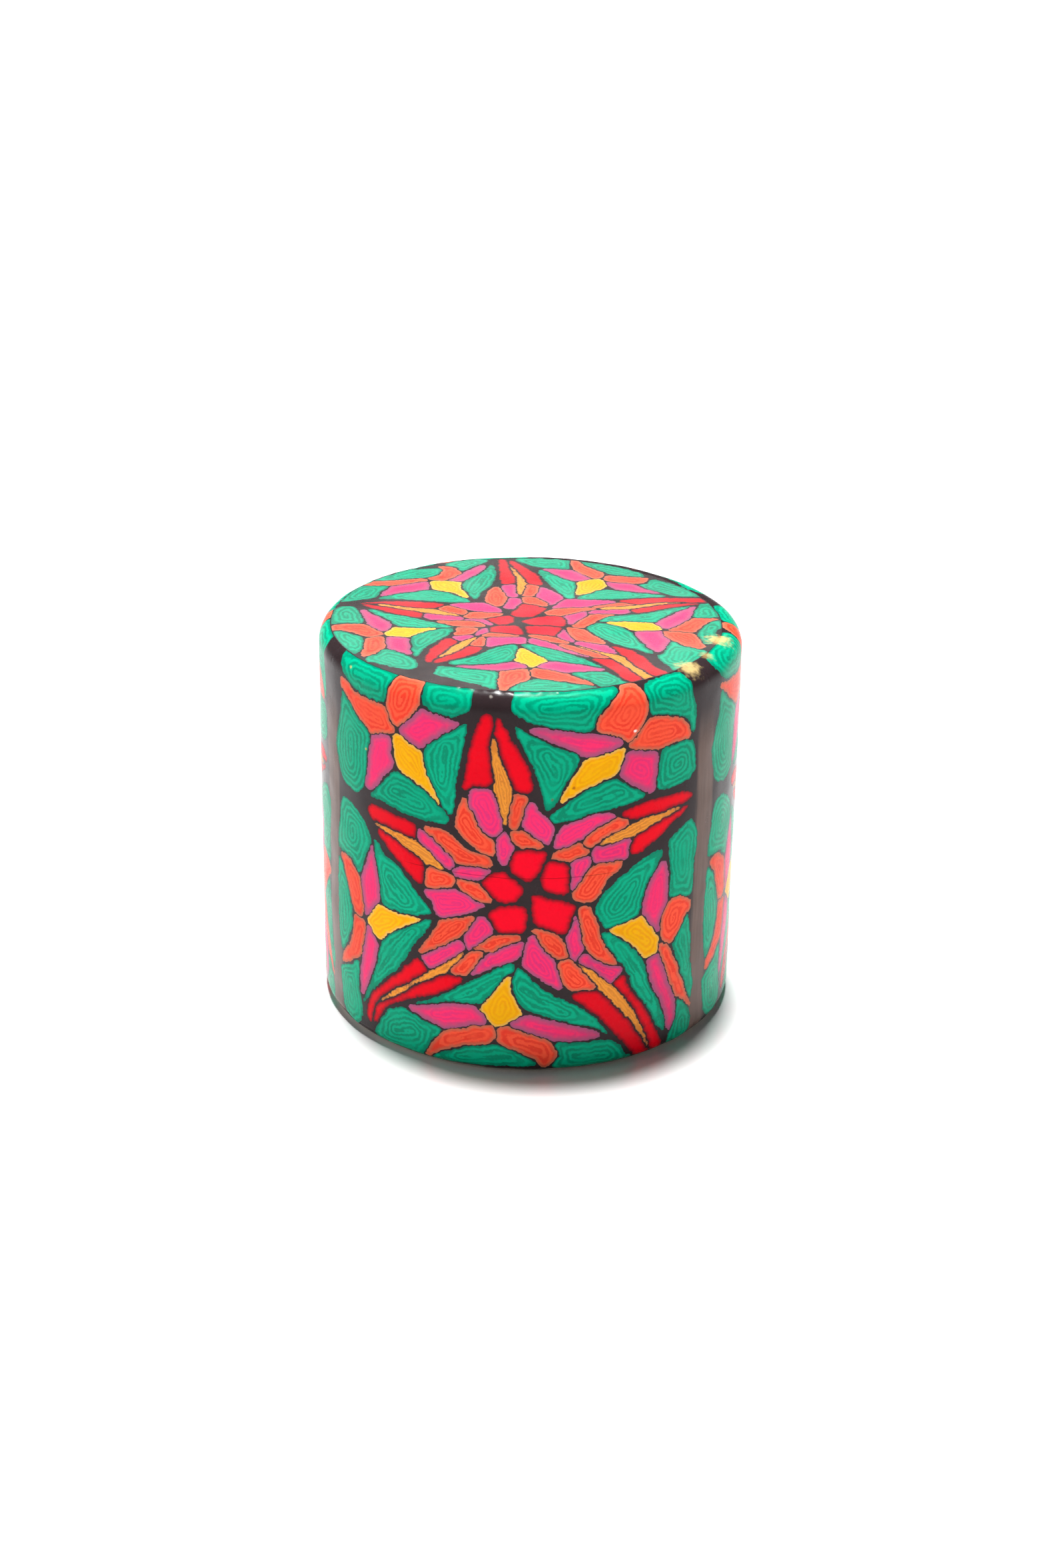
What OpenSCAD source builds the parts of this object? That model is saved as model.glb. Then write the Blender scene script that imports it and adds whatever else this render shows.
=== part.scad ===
// Millefiori pillar candle: a hard wax core wrapped in slices of one patterned wax cane.
// Three square slices go round the side, a fourth is pressed over the top and trimmed round.
// Millimetres, +Z up. The origin is the middle of the flat base, and -Y is the front.

/* [Candle] */
// Diameter over the finished slices
candle_d = 76; // [60:1:96]
// Height of the candle
candle_h = 72; // [56:1:90]
// Rounding of the top edge, worked by hand
top_round = 3.5; // [2.5:0.1:5]
// Rounding of the bottom edge
base_round = 3; // [1.5:0.1:4]

/* [Slices] */
// Thickness of the cane slices
slice_t = 1.2; // [0.8:0.1:2]
// Turn of the front slice round the axis, degrees
front_turn = -5.7; // [-20:0.1:20]
// How far the seam of the top slice lies in from the side
seam_in = 3; // [2:0.1:6]
// Sideways shift of the top slice, which was pressed on by eye
seam_shift_x = -0.8; // [-1.5:0.1:1.5]
// Shift of the top slice towards the back
seam_shift_y = -0.6; // [-1.5:0.1:1.5]
// Width of the dark line that parts two neighbouring cells
line_w = 0.4; // [0.3:0.05:1]

/* [Wick] */
// Diameter of the cotton wick, and of its hole in the core
wick_d = 2.4; // [1.5:0.1:4]

/* [Hidden] */
// Radius of the candle
body_r = candle_d / 2;
// Number of slices round the side, and the angle that one covers
side_slices = 3;
slice_angle = 360 / side_slices;
// Radius of the seam round the top slice
seam_r = body_r - seam_in;
// The size of slice that the outlines below are drawn on
drawn_w = 79.6;
drawn_h = 72;
drawn_seam_r = 35;
// A stretch whose middle bulges past this gets one more point, which rounds the outline
least_bulge = 0.2;
// The sharpest corner is mitred no further than this share allows
mitre_limit = 0.55;
// How much of its own bearing each cell's wall is turned to, so that neighbours clear at depth
wall_turn = 0.6;
// Start of a cell's prism, as a share of the radius, and how far it runs past the surface
prism_start = 0.6;
prism_over = 2;
$fn = 96;

// Outlines of the cells on a side slice: [distance round from the slice's middle, height]
// Green ground between the flowers, side slice
side_green = [
    [[-37.3, 70.8], [-33, 71.6], [-27, 71.7], [-21.6, 71.6], [-22.2, 69], [-23.2, 66.9],
     [-28, 66.4], [-33.5, 67.6], [-36.2, 69]],
    [[-35.1, 65.8], [-31, 62.9], [-26.8, 60.2], [-27.5, 56.5], [-28.3, 50.3], [-31, 47.8],
     [-35.5, 48.7], [-37.2, 51.8], [-38, 55], [-37.2, 58.5], [-35.8, 62]],
    [[-15.4, 71.6], [-15.2, 69], [-14.6, 67.5], [-10.5, 67], [-6.6, 67.7], [-6.2, 69.8],
     [-6.1, 71.6], [-10.8, 71.8]],
    [[-6.8, 66.3], [-7.3, 63], [-8.6, 56], [-9, 50.4], [-9.9, 49.1], [-11.5, 50.8], [-13.6, 55.4],
     [-14.9, 59.3], [-13, 62.2], [-9.5, 64.6]],
    [[-27, 48.7], [-24.3, 51.3], [-22, 54.1], [-19.9, 54.9], [-15, 52.9], [-11, 50], [-9.7, 48.2],
     [-11.5, 47.2], [-18, 47.4], [-23.5, 48.3]],
    [[0.8, 70], [1.5, 68], [6, 66.6], [11, 65.5], [14.6, 65.4], [15.4, 67.6], [19.9, 70.7],
     [15, 71.2], [8, 71.7], [2.2, 71.5]],
    [[1.5, 66.8], [2.7, 65.8], [7, 63.5], [11, 61.7], [12.3, 59.9], [10.2, 56], [8.6, 52.4],
     [7, 50.8], [6.2, 53.2], [5.2, 57.5], [3.4, 61.5], [1.8, 64.3]],
    [[24.7, 70.4], [28, 71], [34.2, 71], [35.2, 68], [36, 65.8], [36.2, 62.5], [35.4, 60.7],
     [33.6, 63.9], [30, 65.6], [25.9, 66.4], [25, 68.5]],
    [[28.1, 59.6], [31.5, 59.9], [35.2, 59.6], [36.4, 57], [36.6, 54.3], [34.8, 52.3], [31, 51.9],
     [27.5, 52.5], [27.5, 56]],
    [[7.3, 49.8], [9, 51.5], [13, 54.1], [18.6, 56], [21.5, 54.2], [25, 52], [20, 50.7],
     [15, 50.1], [12.5, 49.3], [8.2, 48.9]],
    [[29, 40.7], [25.2, 40.2], [21.5, 38.2], [18, 35.5], [15.7, 32.3], [16.8, 29.2], [18.4, 27.9],
     [23.5, 29.1], [24.8, 31.6], [26, 35.2], [28.6, 38.8]],
    [[35.6, 44.4], [37.5, 42.6], [38, 40], [37.3, 35], [36.8, 29.6], [33.5, 30.5], [31, 30.9],
     [31, 35], [30.2, 40.8], [32, 43]],
    [[17.2, 27.5], [19, 26.7], [22.5, 23.7], [25.4, 20.2], [26.9, 15.4], [29.3, 10.8], [30.6, 7.5],
     [30.8, 4.2], [28.7, 6.7], [26.3, 11.1], [23.5, 15.1], [21.8, 19.2], [19.2, 22.9], [17.1, 26]],
    [[36, 26.1], [36.8, 24], [37.3, 20], [37.4, 16], [38.5, 11.5], [38.1, 8.3], [36.8, 10],
     [35, 14.2], [32.5, 20], [33.3, 22.7], [35, 25.2]],
    [[34, 9.9], [36.3, 8], [38, 5.5], [37.7, 1.6], [35, 0.3], [32.3, 1.3], [32, 3.2], [33.7, 6],
     [33.8, 8.2]],
    [[1.2, 22.3], [1.4, 20.5], [-0.5, 18.8], [-2.4, 15.5], [-5, 13.7], [-10, 13.2], [-17, 11],
     [-12.7, 13.6], [-8, 16.9], [-3.2, 20]],
    [[2.1, 21.5], [4, 20.1], [6.5, 17.3], [10.8, 14.8], [15.2, 11.7], [18.9, 6.9], [16.3, 8.6],
     [11, 10.3], [4.5, 12.9], [2.2, 15], [1.4, 18]],
    [[-19.4, 9.6], [-15, 8.4], [-11.2, 7.4], [-13.5, 4.7], [-15.6, 1.1], [-20, 1.2], [-26.6, 1.1],
     [-25.3, 4.3], [-23.5, 7.4]],
    [[-2, 6], [2, 4.7], [5.8, 2.2], [0, 1.5], [-8, 1.2], [-13.8, 1], [-10, 3.5], [-6, 5.1]],
    [[8.9, 6.4], [14, 6], [19.6, 5.7], [22.3, 2.4], [24.3, 0.4], [16, 0.6], [8.7, 1.2], [9.7, 4]],
    [[-35, 45.4], [-31.5, 45], [-27.8, 42.3], [-26.8, 39.5], [-28.5, 36], [-30.2, 32.4],
     [-33, 34.4], [-37.8, 34.9], [-37.3, 39.5], [-36.5, 44]],
    [[-26, 40.6], [-23, 38.2], [-19.5, 36.6], [-15.7, 32.5], [-13.3, 29.9], [-17, 28.6],
     [-21.5, 28.3], [-24.4, 29], [-24.8, 33.3], [-25.7, 37.5]],
    [[-37.7, 33], [-35.2, 30.4], [-33.2, 25.5], [-32.8, 21], [-34.6, 17.4], [-37.1, 14.3],
     [-38.2, 17.5], [-38.5, 23], [-38.3, 29]],
    [[-13.3, 28.7], [-14.5, 26], [-17.2, 22.2], [-20.3, 17.3], [-25.2, 12.4], [-29.6, 6.9],
     [-28, 11], [-25.8, 15.8], [-24.7, 20.5], [-21, 24.3], [-16.3, 27.2]],
    [[-30.9, 14.9], [-33.5, 13.1], [-37.7, 11], [-37.7, 7], [-36.6, 3], [-33, 1.3], [-30.5, 2.8],
     [-30, 6], [-31, 10]]
];
// Yellow heart of each lily, side slice
side_lily_yellow = [
    [[-20.3, 61.9], [-18, 61.1], [-15, 59.5], [-14.3, 56.2], [-11.7, 50.8], [-15, 53.3],
     [-19.6, 55.5], [-20.7, 58], [-21.1, 60.8]],
    [[20.3, 61.5], [20.3, 59.8], [18.9, 57], [15, 55.3], [11, 53.5], [9.1, 52.3], [10.1, 54.8],
     [13, 59.3], [15, 60.3], [18, 60.9]],
    [[18.3, 27.5], [21, 25.5], [24, 22.7], [25.8, 20.5], [28.4, 20.8], [28.8, 23], [27, 26.4],
     [24.3, 28.8], [21.5, 28.3]],
    [[1.2, 19.7], [1, 16.8], [3, 12.8], [0.2, 10.1], [-2.2, 10], [-4.3, 12.9], [-2.5, 15.4],
     [-1, 17.7]],
    [[-15.4, 28.1], [-20.5, 24.9], [-23.6, 22.4], [-24.9, 21.4], [-28, 24.1], [-26.3, 26.8],
     [-24.7, 28.1], [-20.5, 27.8]]
];
// Pink petals of the lilies, side slice
side_lily_pink = [
    [[-22.2, 61.1], [-21.9, 58.3], [-21.2, 56], [-23.5, 53.5], [-25.2, 50.9], [-28, 49.7],
     [-27.7, 53.5], [-26.8, 57.8], [-25.8, 60.3]],
    [[-19.9, 62.5], [-15.2, 60.3], [-13.5, 62], [-10, 64.4], [-8, 66.2], [-11, 66.7], [-15, 67],
     [-17.5, 65.1]],
    [[3.8, 66.1], [9, 65.8], [15.5, 64.5], [20.2, 62.4], [14, 60.8], [9.5, 62.8], [5.2, 64.7]],
    [[21.2, 60.6], [24, 60.3], [27, 59.3], [27, 55], [26.4, 52], [23, 53.9], [19.5, 56.6],
     [20.6, 59.2]],
    [[29.3, 38.4], [30.2, 36], [30.5, 30.6], [29.2, 27.5], [28.6, 24.7], [26.5, 27.4], [25, 29.7],
     [25.6, 33.2], [27.2, 36.5]],
    [[26.2, 19.8], [28.9, 20.3], [30.5, 16.3], [32.8, 11], [33.8, 7], [32.2, 3.9], [30.9, 6.2],
     [30.2, 9.6], [27.3, 15.6]],
    [[-2.8, 10.2], [-4.8, 13], [-7, 13.3], [-12.5, 12.1], [-18, 10.2], [-14, 8.8], [-10.2, 7.8],
     [-6, 9.3]],
    [[1, 10.5], [4.2, 11.9], [9, 10.6], [14, 9], [17.1, 6.8], [12, 6.4], [7.5, 7.4], [3, 9.1]],
    [[-26.6, 39.3], [-25.3, 35.2], [-24.7, 31], [-25.4, 28.4], [-28.3, 24.7], [-29.2, 27],
     [-29.9, 31.3], [-28, 35.5]],
    [[-28.3, 23], [-25.9, 20.8], [-25.5, 18.2], [-26.8, 14.8], [-29.8, 8.3], [-30.4, 12],
     [-29.6, 17]]
];
// Orange petals of the lilies, side slice
side_lily_orange = [
    [[-15.9, 71.4], [-18.8, 71.4], [-21.2, 70.5], [-22.7, 67], [-21.5, 64.6], [-20.2, 63.4],
     [-17.8, 65.3], [-15.7, 67.8]],
    [[-35.2, 67.2], [-30.5, 66.6], [-23.4, 66.4], [-22, 63.9], [-20.9, 62], [-24, 61],
     [-26.4, 60.2], [-30, 62.3], [-34.9, 65.9]],
    [[15.2, 65.4], [16.2, 67.8], [20.2, 70.6], [22.5, 71], [24.5, 69.8], [24.8, 67.3],
     [23.1, 64.3], [21.1, 62.6], [18.5, 64]],
    [[21.2, 61.6], [23, 63.2], [25.2, 65.9], [29, 65.5], [32.5, 64.2], [34.9, 60.5], [30.5, 60.2],
     [27, 59.8], [23.5, 60.5]],
    [[31.6, 30.4], [34.5, 29.9], [36.8, 28], [35.2, 25.6], [31.9, 21.6], [29.4, 23.8], [29.4, 27.7]],
    [[29, 22.5], [31.6, 20.4], [34.5, 14.7], [36.7, 9.8], [37.7, 6.9], [33.8, 10.4], [31.3, 15],
     [29.4, 20.3]],
    [[-2.1, 9.8], [-2.2, 6.2], [-6, 5.1], [-10, 3.9], [-14.6, 1], [-13.2, 4.6], [-9.7, 7.9],
     [-5.5, 9]],
    [[0, 9.7], [4.8, 8.3], [8, 6.6], [9.5, 4.2], [7.6, 1.4], [5.5, 3.2], [2, 4.9], [-0.8, 6.1],
     [-1, 8.4]],
    [[-36.9, 33.7], [-34.5, 34.4], [-31.5, 32.8], [-30, 30.8], [-29.3, 25], [-31.5, 23.9],
     [-33.3, 26.2], [-35.2, 31]],
    [[-32.4, 23.1], [-29.1, 23.4], [-29, 20.5], [-30.2, 16.7], [-32.5, 14.4], [-37, 12],
     [-36, 14.8], [-33.2, 18]]
];
// Long red petals of the star, side slice
side_arm_red = [
    [[-2.9, 67.9], [-2.3, 66], [-2.8, 62.3], [-2.3, 58.5], [-2.4, 55.6], [-5.5, 55.2],
     [-7.4, 54.4], [-6.9, 58], [-5.8, 63.5], [-4.4, 66.9]],
    [[-1.7, 67.6], [0.4, 64.8], [2.8, 60.6], [4.3, 56.9], [4, 54.4], [1.7, 54.7], [-0.1, 58.5],
     [-1.3, 61.8], [-2, 65.5]],
    [[20.2, 49.3], [22.8, 48], [27, 47.9], [32, 48.1], [36.1, 49.1], [32, 50.4], [25.6, 50.5]],
    [[22.7, 44.5], [27, 46], [31, 46.8], [34.9, 47.3], [30.5, 45], [27, 42.8], [22.5, 41.2]],
    [[12, 16], [16.5, 16], [19.6, 12.6], [22.4, 9.4], [24.7, 6], [26.6, 2.6], [28.4, 0.4],
     [25.2, 0.6], [21.6, 4.9], [18.6, 8.8], [14.5, 12.9]],
    [[20.2, 17.5], [21.6, 18.1], [22.9, 15], [25.8, 11.2], [28.2, 6], [30.9, 0.5], [28.5, 1],
     [26.9, 3.9], [25.2, 7.7], [22.9, 12.2], [19.7, 16.3]],
    [[-16.3, 20.3], [-14.2, 18.5], [-16.6, 16], [-19.7, 13.9], [-24.6, 10.1], [-26.5, 7],
     [-27.3, 4], [-28.4, 4.8], [-27.7, 8.5], [-25.3, 11.8], [-20.3, 16.2]],
    [[-10.6, 18.4], [-7.2, 18.3], [-11.2, 15], [-17, 12.4], [-22.7, 9], [-25.4, 5.2], [-26.9, 4.1],
     [-26, 7.2], [-24, 9.6], [-20, 12], [-15, 15.9]],
    [[-27.6, 46], [-25, 47], [-20, 46.4], [-16.5, 45.9], [-16.5, 43.3], [-20, 43.7], [-25.7, 44.2]],
    [[-25.1, 42.8], [-21, 42.1], [-17, 40.4], [-15, 38.9], [-15.2, 35.1], [-19, 37.4],
     [-23.3, 40.7]]
];
// Pale streak between each pair of red petals, side slice
side_stamen = [
    [[-2.1, 64.5], [-1.5, 61.9], [0.4, 57], [1.1, 54], [0.3, 50], [-0.1, 48.2], [-0.8, 50.3],
     [-1.8, 54.6], [-2.6, 60.8]],
    [[16.1, 44.2], [18, 45.5], [22, 46.8], [26, 47.5], [33.2, 47.6], [28, 46.5], [23.5, 45],
     [18, 44]],
    [[12.6, 21.9], [16, 19.6], [19.4, 16.2], [23, 11.8], [25.4, 6.6], [27.3, 2.3], [25, 5.9],
     [22.6, 9.5], [18.8, 13.9], [15.2, 18.5]],
    [[-7.1, 23.6], [-9.4, 22], [-13, 18.9], [-17.4, 15.6], [-21.5, 12.2], [-25, 9], [-20, 12.2],
     [-17, 15], [-12, 17.9], [-8.4, 21.5]],
    [[-25.7, 43.7], [-20, 43.3], [-16.3, 42.7], [-13, 40.8], [-10.6, 38.8], [-13.8, 38.9],
     [-17, 40.6], [-21, 42.4]]
];
// Small pink petals of the star, side slice
side_arm_pink = [
    [[-5.2, 54.6], [-2.6, 54.6], [-1.2, 52], [-0.6, 48], [-2, 45.9], [-4.4, 47.6], [-6.2, 51.6],
     [-6.3, 53.6]],
    [[-0.1, 47.3], [1.5, 44.3], [0.6, 41.6], [-0.6, 41.1], [-1.6, 43.6], [-1.5, 45.8]],
    [[4.1, 52.9], [6.2, 50.3], [8, 48.2], [7.6, 45.5], [6.8, 45], [5, 46.8], [2.9, 48.4], [3.2, 51]],
    [[8.4, 43.8], [9.2, 47], [10.4, 48.4], [14.3, 49.7], [19.3, 49.2], [15.3, 47.2], [12.8, 45.2]],
    [[15.4, 43.7], [18.5, 44], [22.2, 44.5], [21.8, 42], [21, 40.7], [15.4, 40.8]],
    [[11.4, 41.2], [14.3, 42.2], [14.9, 40.8], [13, 37.6], [11.4, 35.9], [11.2, 38.5]],
    [[12.3, 31.4], [12.9, 29], [13.7, 24.8], [12.4, 22], [11.3, 24.3], [10.7, 27], [11.5, 29.4]],
    [[14, 23.6], [17.2, 21.2], [21.3, 19.5], [18.8, 16.9], [16.2, 19.7], [13.1, 21.9]],
    [[4.6, 27.8], [6.3, 25.5], [8.8, 22.4], [10.3, 17.1], [7, 18.9], [4, 21], [3.3, 23.6]],
    [[3.1, 26.4], [-0.5, 25], [-3.7, 23], [-6.3, 19.2], [-2, 21.2], [1.9, 22.8]],
    [[-4, 30.8], [-2, 29.2], [-2.5, 27.2], [-5, 24.9], [-6.5, 24], [-7.1, 26.2], [-5.7, 29.1]],
    [[-15.3, 21.1], [-12, 23.3], [-8, 25.7], [-6.9, 24.1], [-10.5, 20.9], [-14.1, 19.2]],
    [[-2.3, 40], [-4, 38], [-6.5, 37.5], [-9.7, 38.7], [-7, 40]],
    [[-15.7, 45.5], [-12.2, 43.4], [-9, 40.6], [-10, 38.7], [-12.8, 40.6], [-16, 43.6]],
    [[-14.7, 34], [-10, 35.2], [-8, 35], [-3.6, 33.2], [-6.5, 31.4], [-11.7, 29.5], [-13.2, 32.2]]
];
// Small orange petals of the star, side slice
side_arm_orange = [
    [[-7.3, 52.8], [-6.4, 51], [-4.4, 47.3], [-2.2, 45.4], [-2, 42.6], [-5.3, 43.8], [-8.2, 46.5],
     [-8.6, 48.7]],
    [[1.4, 54.2], [3.6, 53.9], [2.9, 50], [1.9, 47.8], [0.6, 48.4], [0.7, 51.8]],
    [[0.6, 47.3], [3, 47.2], [6.5, 44.4], [3, 44.2], [1.4, 45.2]],
    [[7.8, 42.4], [9.8, 44.2], [12.5, 44.9], [14.5, 43.1], [10.9, 41.7]],
    [[13, 44.9], [16, 47.3], [19.3, 48.5], [21.9, 47], [17.9, 45.6], [14.9, 43.8]],
    [[15.3, 40.4], [20.7, 40.2], [18, 37.6], [15.3, 33.7], [11.5, 34.9], [13.4, 38.1]],
    [[4.8, 28.7], [8.7, 27.8], [11.4, 23.3], [8.6, 23.2], [6.3, 26.2]],
    [[12.9, 32.4], [15, 31.9], [16.5, 28], [18, 24], [20.2, 20.5], [15.8, 22.5], [13.6, 26.3]],
    [[9.4, 22.5], [12, 22.4], [14.3, 19.5], [16.5, 16.6], [12.5, 16.5], [9.9, 18.7]],
    [[3, 27], [0.8, 27.9], [-2.4, 27], [-5.6, 24.3], [-2.5, 24.3], [0.3, 25.7]],
    [[-5, 30.7], [-7.2, 27.4], [-9.1, 25.6], [-15.8, 21.4], [-13.2, 25.8], [-11, 29.1], [-7, 30]],
    [[-6.3, 23.3], [-3.7, 23.9], [-6.4, 19.3], [-9.5, 18.7], [-9.4, 20.2], [-7.4, 22.2]],
    [[-14.7, 45.7], [-13, 46], [-10, 45.5], [-6.5, 43], [-3.8, 42.4], [-2.4, 40.4], [-8, 40.2],
     [-11, 42.7]],
    [[-14, 38.4], [-10.5, 38.3], [-8.8, 37], [-10.5, 35.4], [-14.3, 34.7]],
    [[-8.6, 36.7], [-7.3, 37.5], [-5, 36.9], [-2.3, 34], [-4.5, 33.7], [-7.2, 34.9]]
];
// Deep red petals round the middle, side slice
side_heart_red = [
    [[1.9, 43.8], [6.6, 43.6], [6.2, 41], [4.8, 38.4], [3, 38.4], [0.6, 40.7]],
    [[7.4, 41.6], [10.5, 40.8], [11.1, 37.5], [10.4, 35.3], [6.8, 36.4], [6.3, 39]],
    [[4.9, 35.3], [8, 34.4], [11.9, 33.2], [11.4, 29.5], [10.2, 27.7], [5.5, 29.6], [4.8, 32.8]],
    [[-2.8, 31.3], [-0.8, 32.8], [3.3, 33.2], [3.6, 30], [2.6, 27.9], [-1.6, 28.3]],
    [[-1.3, 39.5], [0.9, 38.7], [3, 36], [0.9, 34], [-1.2, 34.2], [-4, 37.2]]
];

// Outlines of the cells on the top slice: [to the right, to the back] of the axis
// Green ground between the flowers, top slice
top_green = [
    [[-17.4, 27.2], [-16.9, 25.6], [-17.6, 23.5], [-19.7, 21.8], [-24, 20.6], [-29.6, 19],
     [-29.3, 21], [-26.5, 24.3], [-22, 26.4]],
    [[-16.7, 29.3], [-14.3, 28], [-13, 25.8], [-10.7, 28.9], [-8.4, 31.8], [-9.2, 33.3], [-13, 32]],
    [[-3.2, 33.6], [-1.6, 31.2], [1, 29], [5, 28.5], [7.3, 28.4], [7.1, 31], [6.8, 33.7],
     [1.5, 34.4]],
    [[9.4, 32.9], [10.3, 30.5], [13.9, 26.4], [17, 25], [21.2, 24.4], [20.6, 26.6], [18, 29],
     [13.5, 31.4]],
    [[23, 23.3], [28.5, 18.3], [31.6, 14.2], [30, 13.4], [26, 13.9], [23, 16.2], [20, 19.3],
     [21.6, 20.9]],
    [[1.6, 27.9], [3.5, 25.9], [6, 22.7], [8.3, 20.6], [8.2, 16], [7.9, 11.9], [6.5, 11.5],
     [4.8, 15.5], [3, 20], [1.5, 25]],
    [[8.1, 11.9], [10.3, 13.9], [13.4, 16.9], [16, 16.3], [21, 14.9], [25, 13.4], [20, 12.4],
     [15.5, 11.3], [9.5, 11.1]],
    [[12.4, -1], [13.3, 1.4], [16, 2.7], [20, 3.7], [25, 6.6], [29.5, 8.5], [26.3, 5.2],
     [23.8, 1.8], [21.8, -0.8], [16, -0.3]],
    [[30.6, 8.9], [33, 9.8], [33.9, 6], [33.6, 2.7], [29.4, 2.3], [29.9, 6]],
    [[12.6, -1.5], [15.8, -3.2], [17.8, -5.8], [18.6, -9.2], [20.3, -14], [21.4, -17.2],
     [17.5, -14.2], [13.6, -11], [11.3, -7.3], [9.8, -4.3], [11.2, -2.4]],
    [[33.7, 0.9], [34.2, -1.5], [32.9, -4.8], [32.8, -8], [31, -11.9], [29.9, -9], [29.6, -6],
     [30.9, -2.3], [32.3, 0.1]],
    [[25, -10.4], [27.2, -12.9], [30, -14.6], [29.6, -18], [27, -22], [24.7, -25.7], [23.8, -23],
     [21.8, -18.5], [23.2, -16], [24, -12.7]],
    [[-2.9, -13.4], [-2.2, -15.5], [-2.8, -20.6], [-4.6, -22.5], [-8.5, -23.7], [-13.9, -23.8],
     [-13, -21.8], [-9.8, -19.7], [-6.5, -15.9]],
    [[-1.7, -13.4], [0.5, -13.4], [4, -15.5], [9, -19.6], [12.4, -24], [9, -22.8], [3.9, -21.2],
     [1.3, -18.1], [-0.7, -15.4]],
    [[-15.5, -24.9], [-12.5, -25.1], [-8, -26.4], [-5.4, -27.2], [-5.6, -31], [-5.7, -34.6],
     [-9, -33], [-15.5, -29.2], [-16.1, -27]],
    [[0.9, -30.1], [4.5, -30.7], [8.3, -32], [11.6, -33.2], [7, -34.5], [1, -35.1], [-3.4, -35.3],
     [-2.2, -33]],
    [[6.8, -26.9], [10, -26.2], [12.7, -26.1], [14.3, -28], [16.5, -31.7], [14, -33],
     [11.7, -32.8], [9.3, -29.8]],
    [[-29.4, 3.6], [-25, 1.2], [-20, -1.3], [-14.4, -4.4], [-15, -5.6], [-19, -5.8], [-23.4, -5.5],
     [-25.2, -2.4], [-27.7, 0.6]],
    [[-32.2, 4.9], [-31.1, 2.6], [-30, -1.5], [-29.8, -4.2], [-32.5, -4.3], [-35.2, -4.2],
     [-35.4, 0], [-34.9, 4.3]],
    [[-34.7, -8.3], [-32, -9.2], [-29.6, -11.4], [-29.1, -14.5], [-29.4, -19], [-31.8, -16.2],
     [-33.9, -12.8]],
    [[-14.2, -5.4], [-13.9, -7.5], [-15.4, -11.2], [-17.7, -14.8], [-19.5, -20.3], [-20.6, -16.7],
     [-20.9, -11], [-18.7, -7.8]],
    [[-24.9, -16.7], [-22, -19.1], [-20, -21.2], [-19.2, -25.5], [-21.3, -26.6], [-25, -24.5],
     [-28.3, -21.3], [-26.6, -19.5]],
    [[-28, 9.2], [-24.3, 12], [-19, 14.5], [-15, 13], [-11.3, 9.4], [-12, 8.1], [-17, 8.1],
     [-23, 9.1]],
    [[-7.7, 30], [-6.7, 27], [-6.6, 22.5], [-7.4, 18], [-9, 14], [-10.1, 9.8], [-11.7, 13],
     [-12.8, 17.5], [-11.9, 21.2], [-9.2, 25.6]],
    [[-34.5, 7.4], [-31, 8.6], [-28.5, 9.8], [-27.8, 12.8], [-26.3, 16.3], [-28.5, 16.4],
     [-31, 16.1], [-33.2, 11.9]]
];
// Yellow heart of each lily, top slice
top_lily_yellow = [
    [[-18.4, 19.8], [-13.2, 19.6], [-13.2, 16.5], [-11.5, 10.9], [-14.3, 13.4], [-17.5, 15],
     [-18.7, 17.4]],
    [[8.5, 13.2], [8.7, 18], [8.8, 21.1], [12.9, 22.6], [14, 19.5], [12.8, 16.8]],
    [[13.4, -1], [17, -0.7], [21.6, -1.1], [23.2, -3.8], [22.6, -5], [18.8, -5.3], [16.5, -3.4]],
    [[-1.7, -15.1], [0.2, -17.3], [3, -20.7], [1.6, -23.4], [0, -24.7], [-0.8, -23.1],
     [-2.7, -21.3], [-2.3, -18]],
    [[-16.4, -6], [-19.8, -8.9], [-21.4, -10.7], [-25.3, -10], [-25.2, -7.8], [-23.6, -5.9],
     [-20, -6]]
];
// Pink petals of the lilies, top slice
top_lily_pink = [
    [[-19.3, 19.5], [-19.1, 15.4], [-20.2, 14.3], [-24, 12.5], [-27.5, 10.6], [-26.6, 14.5],
     [-25.2, 16.7]],
    [[-15.5, 20.6], [-13.2, 24], [-10.5, 28.5], [-9, 29.8], [-9.1, 26.6], [-11.2, 22.2],
     [-13.2, 20.2]],
    [[2, 28.2], [5, 28], [7.9, 27.6], [9.8, 25], [11.2, 22.7], [8.4, 21.4], [5.7, 23.2],
     [3.5, 26.2]],
    [[14, 21.3], [18.9, 20.1], [21, 17.7], [24, 15], [20.5, 15.5], [16.3, 16.9], [14.6, 19]],
    [[29.9, 8.4], [29.2, 4.5], [28.5, 1.3], [25.9, -2.3], [24, -4], [22.3, -0.8], [25, 2.7],
     [26.9, 5.5]],
    [[19, -5.7], [23.2, -5.3], [23.6, -8], [24.6, -10], [23.4, -14], [21.9, -16], [20.3, -13],
     [18.8, -8]],
    [[-3, -22.3], [-0.9, -23.6], [-1, -25], [-5.2, -26.6], [-9, -25.7], [-12.6, -24.5], [-8, -24]],
    [[3.1, -21.5], [6, -21.9], [9.8, -23.5], [12.8, -25.3], [9, -26], [6.2, -26.6], [1.2, -24.7]],
    [[-30.5, 3.2], [-28.2, 0.6], [-25.2, -3.6], [-25, -6.2], [-26.1, -8.1], [-28.9, -4.6], [-30, 0]],
    [[-25, -10.8], [-21.5, -11.3], [-21, -15], [-20.4, -19.5], [-22.6, -18.2], [-24.9, -16.2]]
];
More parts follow.
